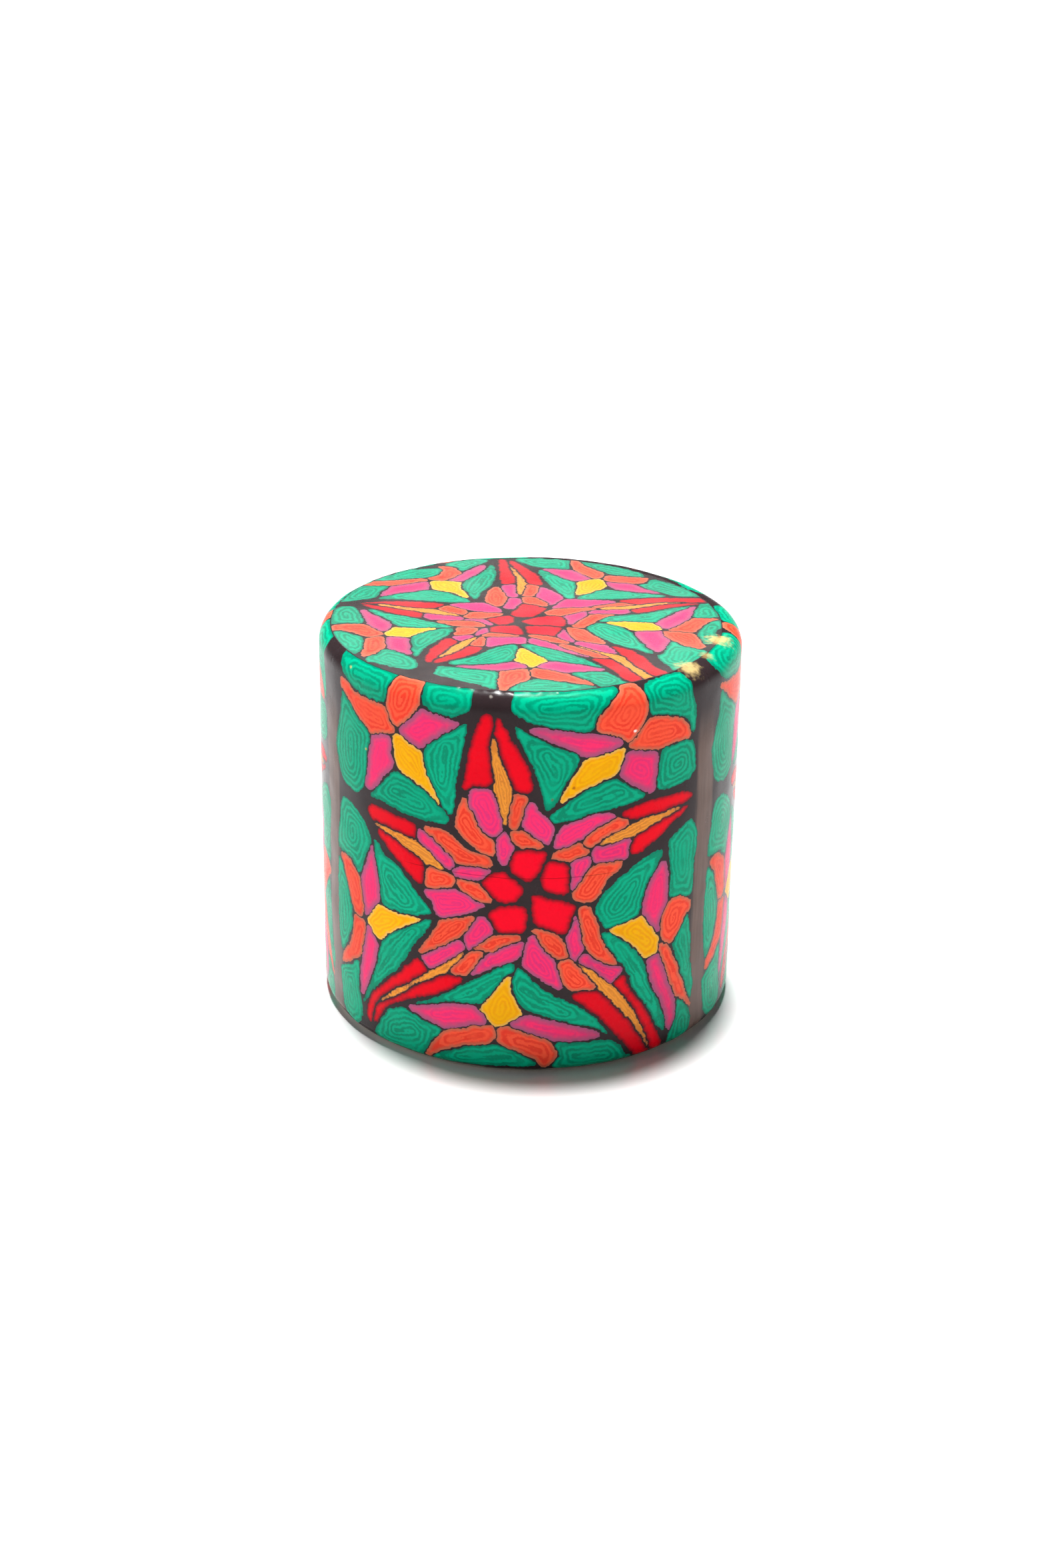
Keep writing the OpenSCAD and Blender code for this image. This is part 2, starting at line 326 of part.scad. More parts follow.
// Orange petals of the lilies, top slice
top_lily_orange = [
    [[-17.7, 28.4], [-15, 27.8], [-13.3, 24.7], [-15, 21.4], [-17, 20.4], [-19.5, 21.5],
     [-17.5, 23.3], [-16.9, 26]],
    [[-30.8, 16.5], [-28.7, 19], [-24, 20.2], [-20.2, 21], [-19.6, 19.6], [-22.5, 18.1],
     [-25.2, 16.9]],
    [[7.3, 33], [8, 29.2], [8.5, 26.8], [11.7, 23], [13.6, 25.7], [10.8, 29.2], [9, 32.6]],
    [[13.7, 22], [14.4, 24.7], [18.3, 24.1], [21.9, 24], [20.8, 21.2], [18.7, 20.4], [15.5, 21]],
    [[29, 1.6], [31.5, 2.2], [33.7, 1.5], [31.6, -0.6], [29.7, -4], [28.5, -5.6], [24.3, -4.7],
     [26.4, -2.2]],
    [[23.6, -5.4], [27, -5.6], [29.2, -7], [30.4, -13.3], [28, -13.2], [24.9, -10], [23.6, -7]],
    [[-0.8, -25.3], [-0.1, -28.5], [-0.3, -30.8], [-2.5, -33], [-4.4, -35.4], [-5.4, -33],
     [-5.2, -27.3], [-3, -26.1]],
    [[0.6, -25], [5.3, -26.7], [8.3, -29.3], [10.8, -32.5], [6.5, -30.7], [1.2, -29.6]],
    [[-35, -5.5], [-32, -4.7], [-29, -5.1], [-26, -9.5], [-28.5, -11.3], [-31.3, -8.8],
     [-34.4, -7.6]],
    [[-28.4, -11.6], [-25.8, -11], [-25.2, -15.8], [-27.3, -20.1], [-28.9, -20], [-29, -15]]
];
// Long red petals of the star, top slice
top_arm_red = [
    [[-5.9, 33.2], [-4.5, 32.3], [-4.3, 29], [-3.2, 24.5], [-2.9, 19.4], [-5.3, 18.8], [-5.7, 24],
     [-6.1, 30]],
    [[-4.1, 32.9], [-1.6, 29.4], [1, 24.5], [2, 19.6], [1.3, 18.5], [-0.7, 19.3], [-1.8, 23.3],
     [-3.6, 29]],
    [[16.2, 10.3], [20, 12], [26, 12.5], [33.3, 12.4], [31, 10.6], [25, 10.1], [19.4, 8.6]],
    [[18.4, 6.1], [22, 7.8], [26, 9.4], [30.8, 9.8], [27, 8.1], [22, 5.3], [18.8, 4.1]],
    [[10.8, -19.7], [13.8, -20], [16.4, -24], [19, -28.8], [20.7, -30.1], [18.4, -31.1],
     [15.9, -29], [13.6, -24.2]],
    [[13.9, -13.3], [17.5, -15.6], [20, -19.3], [21.2, -22.8], [23.5, -26.2], [22, -28.5],
     [19, -24.8], [16.3, -18.8], [15.3, -16.3]],
    [[-14.1, -10.7], [-12.7, -12.8], [-14.6, -17.2], [-17.2, -23.4], [-17.9, -20.5], [-17, -16.3],
     [-15.4, -12.5]],
    [[-10.8, -14.7], [-8.3, -15.1], [-9.5, -17.9], [-12.4, -20.9], [-16.7, -23.6], [-15.6, -20.9],
     [-12.4, -17.3]],
    [[-31.5, 6.5], [-27, 7.6], [-22.5, 8], [-16.2, 7], [-17.2, 4.7], [-21, 4.8], [-27, 6.7]],
    [[-30.4, 6], [-25.5, 4.6], [-20, 2.5], [-19.4, 0.6], [-19.9, -0.8], [-24, 1.1], [-28.5, 4.1]]
];
// Pale streak between each pair of red petals, top slice
top_stamen = [
    [[-4.1, 29.2], [-2.2, 24.8], [-0.9, 19.8], [-1.2, 16], [-2.1, 12.9], [-2.6, 16.5], [-2.9, 22]],
    [[12.4, 6], [13.7, 7.2], [18, 7.8], [22, 9.2], [27.8, 10.2], [23.5, 8.8], [18.5, 6.4], [15, 6]],
    [[8.2, -13.7], [12.2, -16.3], [15.5, -18.1], [18, -23.2], [21.5, -28.9], [19.4, -28.9],
     [16.8, -24.2], [14.3, -19.4], [10.5, -16.2]],
    [[-9.5, -9.8], [-10.3, -13], [-12.4, -16.8], [-15.8, -20.7], [-13.9, -16], [-12, -12.7]],
    [[-28, 6.3], [-22.5, 4.7], [-17.6, 4.1], [-12.8, 1], [-17.5, 1.9], [-22.5, 3.4]]
];
// Small pink petals of the star, top slice
top_arm_pink = [
    [[-5.2, 18.1], [-3, 18.6], [-2.8, 15.5], [-2.5, 11.5], [-4.1, 11.6], [-5.2, 14.3]],
    [[-4, 10.7], [-2.2, 10.8], [-1.7, 8.5], [-2.9, 5.6], [-4.6, 5.2], [-4.9, 7.8]],
    [[2, 17.6], [4.5, 14.3], [5.8, 11.8], [4.5, 8.7], [3.2, 7.3], [2.9, 9.4], [0.9, 12.3],
     [1.4, 15.6]],
    [[3.8, 5.8], [5, 8], [6.5, 11], [11, 10.8], [15.8, 9.7], [11.8, 8], [9.8, 6.8], [6.3, 6.7]],
    [[10.2, 4.5], [10, 1.7], [8.4, -0.9], [6.9, -3.1], [6.1, 0.5], [6.3, 2.1], [8.5, 3.7]],
    [[12.2, 5.5], [17.4, 5.9], [17.9, 4.1], [15, 3.5], [10.7, 3.4], [10.8, 4.7]],
    [[5.9, -5.1], [6.9, -8], [7.7, -12.3], [5.8, -10.7], [4.5, -8.8], [5.2, -6.4]],
    [[8, -11.3], [10.8, -12.1], [13.4, -13], [15, -17.2], [12.2, -15.9], [8.3, -13.3]],
    [[0.2, -10.1], [3.3, -12.2], [5.2, -14.6], [10, -18.9], [7, -17.3], [0.3, -13]],
    [[-8.3, -5.4], [-7.5, -5.5], [-7.4, -7.6], [-9.3, -9.3], [-9.6, -7.6]],
    [[-7.4, -10.4], [-3, -9.9], [-1.1, -10.1], [-0.8, -12.8], [-3.5, -13.2], [-7.5, -14.9],
     [-7.6, -12.4]],
    [[-13.2, -9.8], [-10.8, -9.1], [-9.9, -9.7], [-11.9, -12.3], [-13.5, -11.1]],
    [[-14.6, 6.8], [-9.5, 8], [-7.2, 7], [-5.2, 3], [-9.5, 3.4], [-12.2, 4.8]],
    [[-18.8, 1.7], [-15, 1], [-12.6, 0.4], [-12.6, -1.4], [-17, -1.6], [-19.2, -0.2]],
    [[-12.1, -1.2], [-10.5, -0.8], [-8, -0.9], [-6.6, -3.1], [-7.6, -3.7], [-9.2, -2]]
];
// Small orange petals of the star, top slice
top_arm_orange = [
    [[-6.2, 17.2], [-5.4, 15], [-4.4, 12], [-4.6, 9], [-5.4, 6.4], [-7, 6.7], [-8.2, 9.5],
     [-7.9, 14]],
    [[-0.7, 18.9], [1.5, 17.9], [0.8, 12.6], [-1.5, 12], [-1.2, 15.5]],
    [[-1.6, 11.6], [0.8, 11.7], [2.8, 9.2], [2.9, 6.8], [-1.3, 8.5]],
    [[10.9, 7], [14.6, 8.9], [16.3, 9.5], [19.2, 8.2], [14.3, 7.5], [12.4, 6.7]],
    [[3.1, 4.4], [4.6, 5.7], [10, 6.5], [12, 6], [9.6, 4.7], [6, 2.4], [3, 2.3]],
    [[11, 2.9], [15.3, 3], [13.3, 1.5], [9.7, -4], [7.3, -3.6], [9, 0]],
    [[0.2, -8.2], [4.1, -9.2], [7.2, -12.3], [4.3, -12], [0.4, -9.6]],
    [[6.3, -5.1], [8.9, -4.9], [13.2, -12.2], [10, -11.5], [7.6, -10.1]],
    [[4.8, -13.1], [8, -14], [13.7, -18.9], [10.7, -18.9], [7.3, -16.2]],
    [[-8.6, -8.6], [-6.8, -7.8], [-4, -8.4], [-1.9, -9.2], [-4.5, -9.7], [-8, -9.7]],
    [[-9, -9.9], [-7.9, -10.4], [-8, -14.6], [-10.5, -14.4], [-10.1, -12]],
    [[-12.5, -5.2], [-9.2, -5.7], [-10.2, -8.2], [-13.3, -9.4], [-13, -7.3]],
    [[-15.5, 6.1], [-12.6, 4.6], [-11.4, 2.9], [-12.2, 1.7], [-16.7, 3.7]],
    [[-10.7, 3], [-5, 2.2], [-8.5, -0.3], [-11.9, 0.3], [-11.3, 1.8]],
    [[-17, -2.1], [-12.5, -1.7], [-9.3, -2.3], [-8.3, -3.9], [-9.5, -4.7], [-13.5, -4.4]]
];
// Deep red petals round the middle, top slice
top_heart_red = [
    [[-1.6, 8.1], [2.4, 6.3], [1.6, 3.2], [-0.2, 0.9], [-2.8, 0.9], [-3.4, 2.8], [-2.5, 5.6]],
    [[-1, -1], [1.2, 0.8], [3.5, 1.9], [5.8, 1.3], [6.4, -3.3], [1, -3.2], [-1.1, -2.2]],
    [[-0.4, -4], [5.4, -4.3], [4.8, -7.4], [4.1, -8.9], [0, -7.9], [-0.5, -6]],
    [[-7, -4.7], [-4, -4], [-2.2, -4.4], [-1.5, -6.8], [-1.8, -8.5], [-4.5, -8], [-7.1, -7.4]],
    [[-7.9, -0.3], [-4.3, 1.3], [-3.1, 0], [-3.3, -2.4], [-5.6, -3.7], [-7.2, -2.1]]
];

side_cells = [side_green, side_lily_yellow, side_lily_pink, side_lily_orange, side_arm_red,
              side_stamen, side_arm_pink, side_arm_orange, side_heart_red];
top_cells = [top_green, top_lily_yellow, top_lily_pink, top_lily_orange, top_arm_red,
             top_stamen, top_arm_pink, top_arm_orange, top_heart_red];

// Wax colours
dark_wax = [0.22, 0.18, 0.18];
green_wax = [0.0, 0.62, 0.47];
yellow_wax = [1.0, 0.75, 0.1];
pink_wax = [1.0, 0.3, 0.48];
orange_wax = [1.0, 0.42, 0.28];
red_wax = [0.95, 0.08, 0.16];
peach_wax = [0.95, 0.62, 0.3];
heart_wax = [0.85, 0.03, 0.12];
core_colour = [0.93, 0.9, 0.83];
cotton = [0.95, 0.93, 0.88];

// Sum of a list of numbers
function total(list, i = 0) = i < len(list) ? list[i] + total(list, i + 1) : 0;
// Vector v at length 1
function unit(v) = v / norm(v);
// Vector v turned a quarter turn to its left
function left_of(v) = [-v[1], v[0]];
// Twice the area of an outline, positive when it runs anticlockwise
function signed_area(p) = total([for (i = [0:len(p) - 1]) cross(p[i], p[(i + 1) % len(p)])]);

// Outline p drawn in by a distance all round
function drawn_in(p, gap) =
    let (n = len(p), inward = signed_area(p) > 0 ? 1 : -1)
    [for (i = [0:n - 1])
        let (before = inward * left_of(unit(p[i] - p[(i + n - 1) % n])),
             after = inward * left_of(unit(p[(i + 1) % n] - p[i])),
             middle = unit(before + after))
        p[i] + middle * gap / max(middle * before, mitre_limit)];

// Middle of the smooth curve from p1 to p2, which leaves them along p0-p2 and p1-p3
function curve_middle(p0, p1, p2, p3) = (9 * (p1 + p2) - p0 - p3) / 16;

// Outline p with its long bends rounded
function curved(p) =
    let (n = len(p))
    [for (i = [0:n - 1])
        let (from = p[i], to = p[(i + 1) % n],
             middle = curve_middle(p[(i + n - 1) % n], from, to, p[(i + 2) % n]),
             bulge = norm(middle - (from + to) / 2))
        each bulge > least_bulge ? [from, middle] : [from]];

// Outline of a cell at the size of the real slice, with half a dark line taken off its edge
function cell_outline(p, scale_x, scale_y) =
    curved(drawn_in([for (q = p) [q[0] * scale_x, q[1] * scale_y]], line_w / 2));

// Radius of the candle at height z
function radius_at(z) =
    let (into_top = max(0, z - candle_h + top_round), into_base = max(0, base_round - z))
    body_r - top_round + sqrt(top_round ^ 2 - min(top_round, into_top) ^ 2)
        - base_round + sqrt(base_round ^ 2 - min(base_round, into_base) ^ 2);

// Bearing in degrees of a point that lies x round from the middle of a slice
function bearing(x) = x / body_r * 180 / PI;

// Half section of the whole candle
module candle_section() {
    translate([0, base_round]) square([body_r, candle_h - base_round - top_round]);
    square([body_r - base_round, base_round]);
    translate([0, candle_h - top_round]) square([body_r - top_round, top_round]);
    intersection() {
        translate([body_r - base_round, base_round]) circle(r = base_round);
        translate([body_r - base_round, 0]) square(base_round);
    }
    intersection() {
        translate([body_r - top_round, candle_h - top_round]) circle(r = top_round);
        translate([body_r - top_round, candle_h - top_round]) square(top_round);
    }
}

// Half section of the core, drawn as a block: the slices lie outside it
module core_section() {
    inner_r = body_r - slice_t;
    inner_round = top_round - slice_t;
    square([inner_r, candle_h - top_round]);
    square([body_r - top_round, candle_h - slice_t]);
    intersection() {
        translate([body_r - top_round, candle_h - top_round]) circle(r = inner_round);
        translate([body_r - top_round, candle_h - top_round]) square(inner_round);
    }
}

// Room that the trimmed top slice takes up
module top_room() {
    translate([seam_shift_x, seam_shift_y, candle_h - top_round])
        cylinder(r = seam_r, h = top_round + prism_over);
}

// Plain side slice, before its pattern is cut, turned to its place round the axis
module side_slice(turn) {
    difference() {
        rotate([0, 0, turn - 90 - slice_angle / 2])
            rotate_extrude(angle = slice_angle) difference() {
                candle_section();
                core_section();
            }
        top_room();
    }
}

// Plain top slice, before its pattern is cut
module top_slice() {
    intersection() {
        rotate_extrude() difference() {
            candle_section();
            core_section();
        }
        top_room();
    }
}

// Solids that cut the given cells out of a side slice, square to the surface near each cell
module side_cutters(cells, turn) {
    scale_x = PI * candle_d / side_slices / drawn_w;
    scale_z = candle_h / drawn_h;
    for (p = cells) {
        outline = cell_outline(p, scale_x, scale_z);
        facing = wall_turn * bearing(total([for (q = outline) q[0]]) / len(outline));
        rotate([0, 0, turn + facing]) rotate([90, 0, 0])
            translate([0, 0, body_r * prism_start])
                linear_extrude(height = body_r * (1 - prism_start) + prism_over)
                    polygon([for (q = outline) [radius_at(q[1]) * sin(bearing(q[0]) - facing), q[1]]]);
    }
}

// Solids that cut the given cells out of the top slice
module top_cutters(cells) {
    size = seam_r / drawn_seam_r;
    for (p = cells)
        translate([0, 0, candle_h - top_round])
            linear_extrude(height = top_round + prism_over) polygon(cell_outline(p, size, size));
}

// Cells of one wax in a side slice
module side_inlay(cells, turn) {
    intersection() {
        side_slice(turn);
        side_cutters(cells, turn);
    }
}

// Dark wax of a side slice, with a window for every cell
module side_web(turn) {
    difference() {
        side_slice(turn);
        for (cells = side_cells) side_cutters(cells, turn);
    }
}

// Cells of one wax in the top slice
module top_inlay(cells) {
    intersection() {
        top_slice();
        top_cutters(cells);
    }
}

// Hard wax core, cast round the wick
module core_wax() {
    color(core_colour) difference() {
        rotate_extrude() intersection() {
            candle_section();
            core_section();
        }
        translate([0, 0, -1]) cylinder(d = wick_d, h = candle_h + 2);
    }
}

// Cotton wick, from the base to the underside of the top slice
module wick() {
    color(cotton) cylinder(d = wick_d, h = candle_h - slice_t);
}

// Front slice
module front_web() { color(dark_wax) side_web(front_turn); }
module front_green() { color(green_wax) side_inlay(side_green, front_turn); }
module front_lily_yellow() { color(yellow_wax) side_inlay(side_lily_yellow, front_turn); }
module front_lily_pink() { color(pink_wax) side_inlay(side_lily_pink, front_turn); }
module front_lily_orange() { color(orange_wax) side_inlay(side_lily_orange, front_turn); }
module front_arm_red() { color(red_wax) side_inlay(side_arm_red, front_turn); }
module front_stamen() { color(peach_wax) side_inlay(side_stamen, front_turn); }
module front_arm_pink() { color(pink_wax) side_inlay(side_arm_pink, front_turn); }
module front_arm_orange() { color(orange_wax) side_inlay(side_arm_orange, front_turn); }
module front_heart_red() { color(heart_wax) side_inlay(side_heart_red, front_turn); }

// Right slice
module right_web() { color(dark_wax) side_web(front_turn + slice_angle); }
module right_green() { color(green_wax) side_inlay(side_green, front_turn + slice_angle); }
module right_lily_yellow() { color(yellow_wax) side_inlay(side_lily_yellow, front_turn + slice_angle); }
module right_lily_pink() { color(pink_wax) side_inlay(side_lily_pink, front_turn + slice_angle); }
module right_lily_orange() { color(orange_wax) side_inlay(side_lily_orange, front_turn + slice_angle); }
module right_arm_red() { color(red_wax) side_inlay(side_arm_red, front_turn + slice_angle); }
module right_stamen() { color(peach_wax) side_inlay(side_stamen, front_turn + slice_angle); }
module right_arm_pink() { color(pink_wax) side_inlay(side_arm_pink, front_turn + slice_angle); }
module right_arm_orange() { color(orange_wax) side_inlay(side_arm_orange, front_turn + slice_angle); }
module right_heart_red() { color(heart_wax) side_inlay(side_heart_red, front_turn + slice_angle); }

// Left slice
module left_web() { color(dark_wax) side_web(front_turn - slice_angle); }
module left_green() { color(green_wax) side_inlay(side_green, front_turn - slice_angle); }
module left_lily_yellow() { color(yellow_wax) side_inlay(side_lily_yellow, front_turn - slice_angle); }
module left_lily_pink() { color(pink_wax) side_inlay(side_lily_pink, front_turn - slice_angle); }
module left_lily_orange() { color(orange_wax) side_inlay(side_lily_orange, front_turn - slice_angle); }
module left_arm_red() { color(red_wax) side_inlay(side_arm_red, front_turn - slice_angle); }
module left_stamen() { color(peach_wax) side_inlay(side_stamen, front_turn - slice_angle); }
module left_arm_pink() { color(pink_wax) side_inlay(side_arm_pink, front_turn - slice_angle); }
module left_arm_orange() { color(orange_wax) side_inlay(side_arm_orange, front_turn - slice_angle); }
module left_heart_red() { color(heart_wax) side_inlay(side_heart_red, front_turn - slice_angle); }

// Top slice, trimmed round at the seam
module top_web() {
    color(dark_wax) difference() {
        top_slice();
        for (cells = top_cells) top_cutters(cells);
    }
}
module top_green() { color(green_wax) top_inlay(top_green); }
module top_lily_yellow() { color(yellow_wax) top_inlay(top_lily_yellow); }
module top_lily_pink() { color(pink_wax) top_inlay(top_lily_pink); }
module top_lily_orange() { color(orange_wax) top_inlay(top_lily_orange); }
module top_arm_red() { color(red_wax) top_inlay(top_arm_red); }
module top_stamen() { color(peach_wax) top_inlay(top_stamen); }
module top_arm_pink() { color(pink_wax) top_inlay(top_arm_pink); }
module top_arm_orange() { color(orange_wax) top_inlay(top_arm_orange); }
module top_heart_red() { color(heart_wax) top_inlay(top_heart_red); }

core_wax();
wick();
front_web();
front_green();
front_lily_yellow();
front_lily_pink();
front_lily_orange();
front_arm_red();
front_stamen();
front_arm_pink();
front_arm_orange();
front_heart_red();
right_web();
right_green();
right_lily_yellow();
right_lily_pink();
right_lily_orange();
right_arm_red();
right_stamen();
right_arm_pink();
right_arm_orange();
right_heart_red();
left_web();
left_green();
left_lily_yellow();
left_lily_pink();
left_lily_orange();
left_arm_red();
left_stamen();
left_arm_pink();
left_arm_orange();
left_heart_red();
top_web();
top_green();
top_lily_yellow();
top_lily_pink();
top_lily_orange();
top_arm_red();
top_stamen();
top_arm_pink();
top_arm_orange();
top_heart_red();
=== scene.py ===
"""Millefiori pillar candle: wax slices of one patterned cane round a plain wax core.

Each slice is cut into its real pieces: a dark web, and the coloured cells that lie flush in it.
The outlines of the cells come from the CAD nodes that the pieces replace. Units are metres.
"""
import math

import bpy
import numpy as np
from bpy.props import FloatProperty, FloatVectorProperty, PointerProperty
from mathutils import Matrix, Vector, kdtree, noise
from mathutils.geometry import delaunay_2d_cdt


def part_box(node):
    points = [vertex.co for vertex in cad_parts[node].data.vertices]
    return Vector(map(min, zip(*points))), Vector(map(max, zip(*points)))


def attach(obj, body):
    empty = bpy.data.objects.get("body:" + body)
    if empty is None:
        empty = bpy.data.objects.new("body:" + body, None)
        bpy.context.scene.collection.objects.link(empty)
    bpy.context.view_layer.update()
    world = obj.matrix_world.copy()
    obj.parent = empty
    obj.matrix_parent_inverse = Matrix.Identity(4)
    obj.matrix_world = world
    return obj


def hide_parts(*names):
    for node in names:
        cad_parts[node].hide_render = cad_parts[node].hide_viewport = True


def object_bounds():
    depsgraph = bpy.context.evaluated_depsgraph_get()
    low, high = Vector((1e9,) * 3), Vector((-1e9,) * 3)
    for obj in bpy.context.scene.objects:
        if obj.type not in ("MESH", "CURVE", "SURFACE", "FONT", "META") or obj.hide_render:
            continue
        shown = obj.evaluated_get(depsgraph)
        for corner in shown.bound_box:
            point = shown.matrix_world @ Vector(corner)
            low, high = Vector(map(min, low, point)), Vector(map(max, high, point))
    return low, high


bl_info = {
    "name": "Millefiori pillar candle",
    "version": (1, 0, 0),
    "blender": (4, 5, 0),
    "location": "3D View > Sidebar > Candle",
    "description": "Builds a pillar candle covered with slices of a patterned wax cane",
    "category": "Object",
}

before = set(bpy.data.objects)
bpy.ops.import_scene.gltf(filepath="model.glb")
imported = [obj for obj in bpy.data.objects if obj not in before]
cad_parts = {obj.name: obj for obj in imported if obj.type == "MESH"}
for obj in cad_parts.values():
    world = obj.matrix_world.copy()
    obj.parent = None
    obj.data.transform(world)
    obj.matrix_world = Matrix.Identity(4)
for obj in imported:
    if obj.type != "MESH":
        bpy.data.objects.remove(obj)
CAD_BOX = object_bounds()

MM = 0.001
TINY = 1e-9             # keeps a division away from nought
WELD = 0.002 * MM       # CAD points nearer than this are one point
SKIN = 0.03 * MM        # CAD points less deep than this lie on the outside
WAVER_SEED = 1          # without a seed, the wavers of the cut edges differ from run to run
DIGITS = 9              # outlines are rounded to these decimals of a metre, so that every run agrees
FINE_WAVER = 0.45 * MM  # size of the smallest wavers in a cut edge
BROAD_WAVER = 1.6 * MM  # size of the long wavers in a cut edge
BROAD_ROLL = 9 * MM     # size of the broad waves that rolling leaves
FINE_ROLL = 4 * MM      # size of the small waves that rolling leaves
BEAD_WIDTH = 0.55 * MM  # half width of the ridge on the seam
BEAD_LUMPS = 1.3 * MM   # size of the lumps along that ridge
BEAD_REACH = 1.5 * MM   # distance from the seam where the ridge has died away
UPRIGHT_STEPS = 60      # mesh points along the upright edges of a side slice
RING_LINE = 0.32        # half length of the line that the rings of a long cell run round
SEED_CELLS = 900        # cells of noise in a metre, for what differs from one cell to the next
SIDE_SLICES = ("front", "right", "left")
GROUPS = (
    "green", "lily_yellow", "lily_pink", "lily_orange",
    "arm_red", "stamen", "arm_pink", "arm_orange", "heart_red",
)


def rgb(red, green, blue):
    """A colour given as 0 to 255 on a screen, as the linear values that shaders take."""
    def linear(value):
        share = value / 255
        return share / 12.92 if share <= 0.04045 else ((share + 0.055) / 1.055) ** 2.4
    return (linear(red), linear(green), linear(blue))


def size(name, text, default, unit="LENGTH", **limits):
    return FloatProperty(name=name, description=text, default=default, unit=unit, precision=5, **limits)


def angle(name, text, degrees):
    return FloatProperty(
        name=name, description=text, default=math.radians(degrees), subtype="ANGLE", precision=4)


def colour(name, text, *screen):
    return FloatVectorProperty(
        name=name, description=text, default=rgb(*screen), subtype="COLOR", size=3, min=0.0, max=1.0)


class CandleSizes(bpy.types.PropertyGroup):
    """Sizes of the candle. What the frame states is measured from it."""

    top_round: size("Top rounding", "Rounding of the top edge", 3.5 * MM)
    base_round: size("Base rounding", "Rounding of the bottom edge", 3.0 * MM)
    slice_t: size("Slice thickness", "Thickness of the cane slices", CAD_BOX[1][0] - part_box("core_wax")[1][0])
    front_turn: angle("Front turn", "Turn of the front slice round the axis", -5.7)
    mesh_step: size("Mesh step", "Distance between mesh points inside a slice", 0.5 * MM)
    outline_step: size("Outline step", "Distance between mesh points on an outline", 0.29 * MM)
    tremor: size("Tremor", "How far the cut edges of the cells waver", 0.26 * MM)
    wave: size("Wave", "Height of the waves that hand rolling leaves", 0.10 * MM)
    seam_bead: size("Seam bead", "Height of the uneven ridge along the top seam", 0.16 * MM)
    top_tilt: size("Top tilt", "How much higher the left of the top is than its middle", 0.25 * MM)
    edge_gap: size("Edge gap", "Least dark wax between a cell and the edge of its slice", 0.08 * MM)
    seam_pull: size("Seam pull", "How far the side cells are drawn out to reach the seam", 2.0 * MM)
    base_pull: size("Base pull", "How far the side cells are drawn out to reach the base", 0.5 * MM)
    rim_pull: size("Rim pull", "How far the top cells are drawn out to reach the seam", 0.4 * MM)
    line: size("Line", "Dark wax left between two neighbouring cells", 0.18 * MM)
    swell: size("Swell", "Most that a petal spreads when its slice is pressed on", 0.45 * MM)
    green_swell: size("Green swell", "Most that a green cell spreads when its slice is pressed on", 0.20 * MM)


class WaxColours(bpy.types.PropertyGroup):
    """Colours of the waxes on the side slices."""

    green: colour("Green", "Body of the green cells", 0, 176, 134)
    green_line: colour("Green line", "Rings in the green cells", 0, 140, 106)
    green_rim: colour("Green rim", "Outer skin of the green cells", 0, 124, 98)
    yellow: colour("Yellow", "Body of the yellow cells", 255, 184, 0)
    yellow_line: colour("Yellow line", "Rings in the yellow cells", 246, 160, 0)
    yellow_rim: colour("Yellow rim", "Outer skin of the yellow cells", 240, 184, 90)
    pink: colour("Pink", "Body of the pink petals", 255, 50, 112)
    pink_line: colour("Pink line", "Rings in the pink petals", 226, 50, 118)
    pink_rim: colour("Pink rim", "Outer skin of the pink petals", 168, 84, 122)
    orange: colour("Orange", "Body of the orange petals", 255, 88, 58)
    orange_line: colour("Orange line", "Rings in the orange petals", 236, 62, 42)
    orange_rim: colour("Orange rim", "Outer skin of the orange petals", 200, 106, 80)
    red: colour("Red", "Middle of the long red petals", 238, 0, 28)
    red_rim: colour("Red rim", "Edges of the long red petals", 140, 20, 36)
    peach: colour("Peach", "Body of the pale streaks", 244, 156, 56)
    peach_line: colour("Peach line", "Rings in the pale streaks", 208, 120, 48)
    peach_rim: colour("Peach rim", "Outer skin of the pale streaks", 176, 112, 72)
    heart: colour("Heart", "Middle of the cells round the centre", 255, 0, 38)
    heart_rim: colour("Heart rim", "Edges of the cells round the centre", 140, 22, 36)
    web: colour("Web", "Dark wax between the cells", 44, 34, 36)
    border: colour("Border", "Paler wax along the joints of the side slices", 108, 86, 78)
    # Painted reflection: this pale colour stands in for the white surroundings mirrored in the top face, not a
    # bloom in the wax.
    painted_reflection: colour("Haze", "Milky bloom on the dull top face", 255, 250, 246)
    core: colour("Core", "Plain wax of the core", 238, 228, 208)
    cotton: colour("Cotton", "Cotton of the wick", 236, 230, 214)


class StageSettings(bpy.types.PropertyGroup):
    """Camera, floor and lights."""

    distance: size("Camera distance", "Distance from the camera to the middle of the base", 484.1 * MM)
    elevation: angle("Camera elevation", "Height of the camera above the floor", 27.7165)
    yaw: angle("Yaw", "Turn of the camera to the side", 0.1387)
    pitch: angle("Pitch", "Turn of the camera upwards", 4.3151)
    roll: angle("Roll", "Turn of the camera round its own line of sight", -0.7646)
    lens: FloatProperty(
        name="Lens", description="Focal length on a 36 mm sensor", default=58.16, unit="CAMERA")
    floor: colour("Floor", "Colour of the floor", 246, 246, 246)


# ---------------------------------------------------------------- shape of the candle


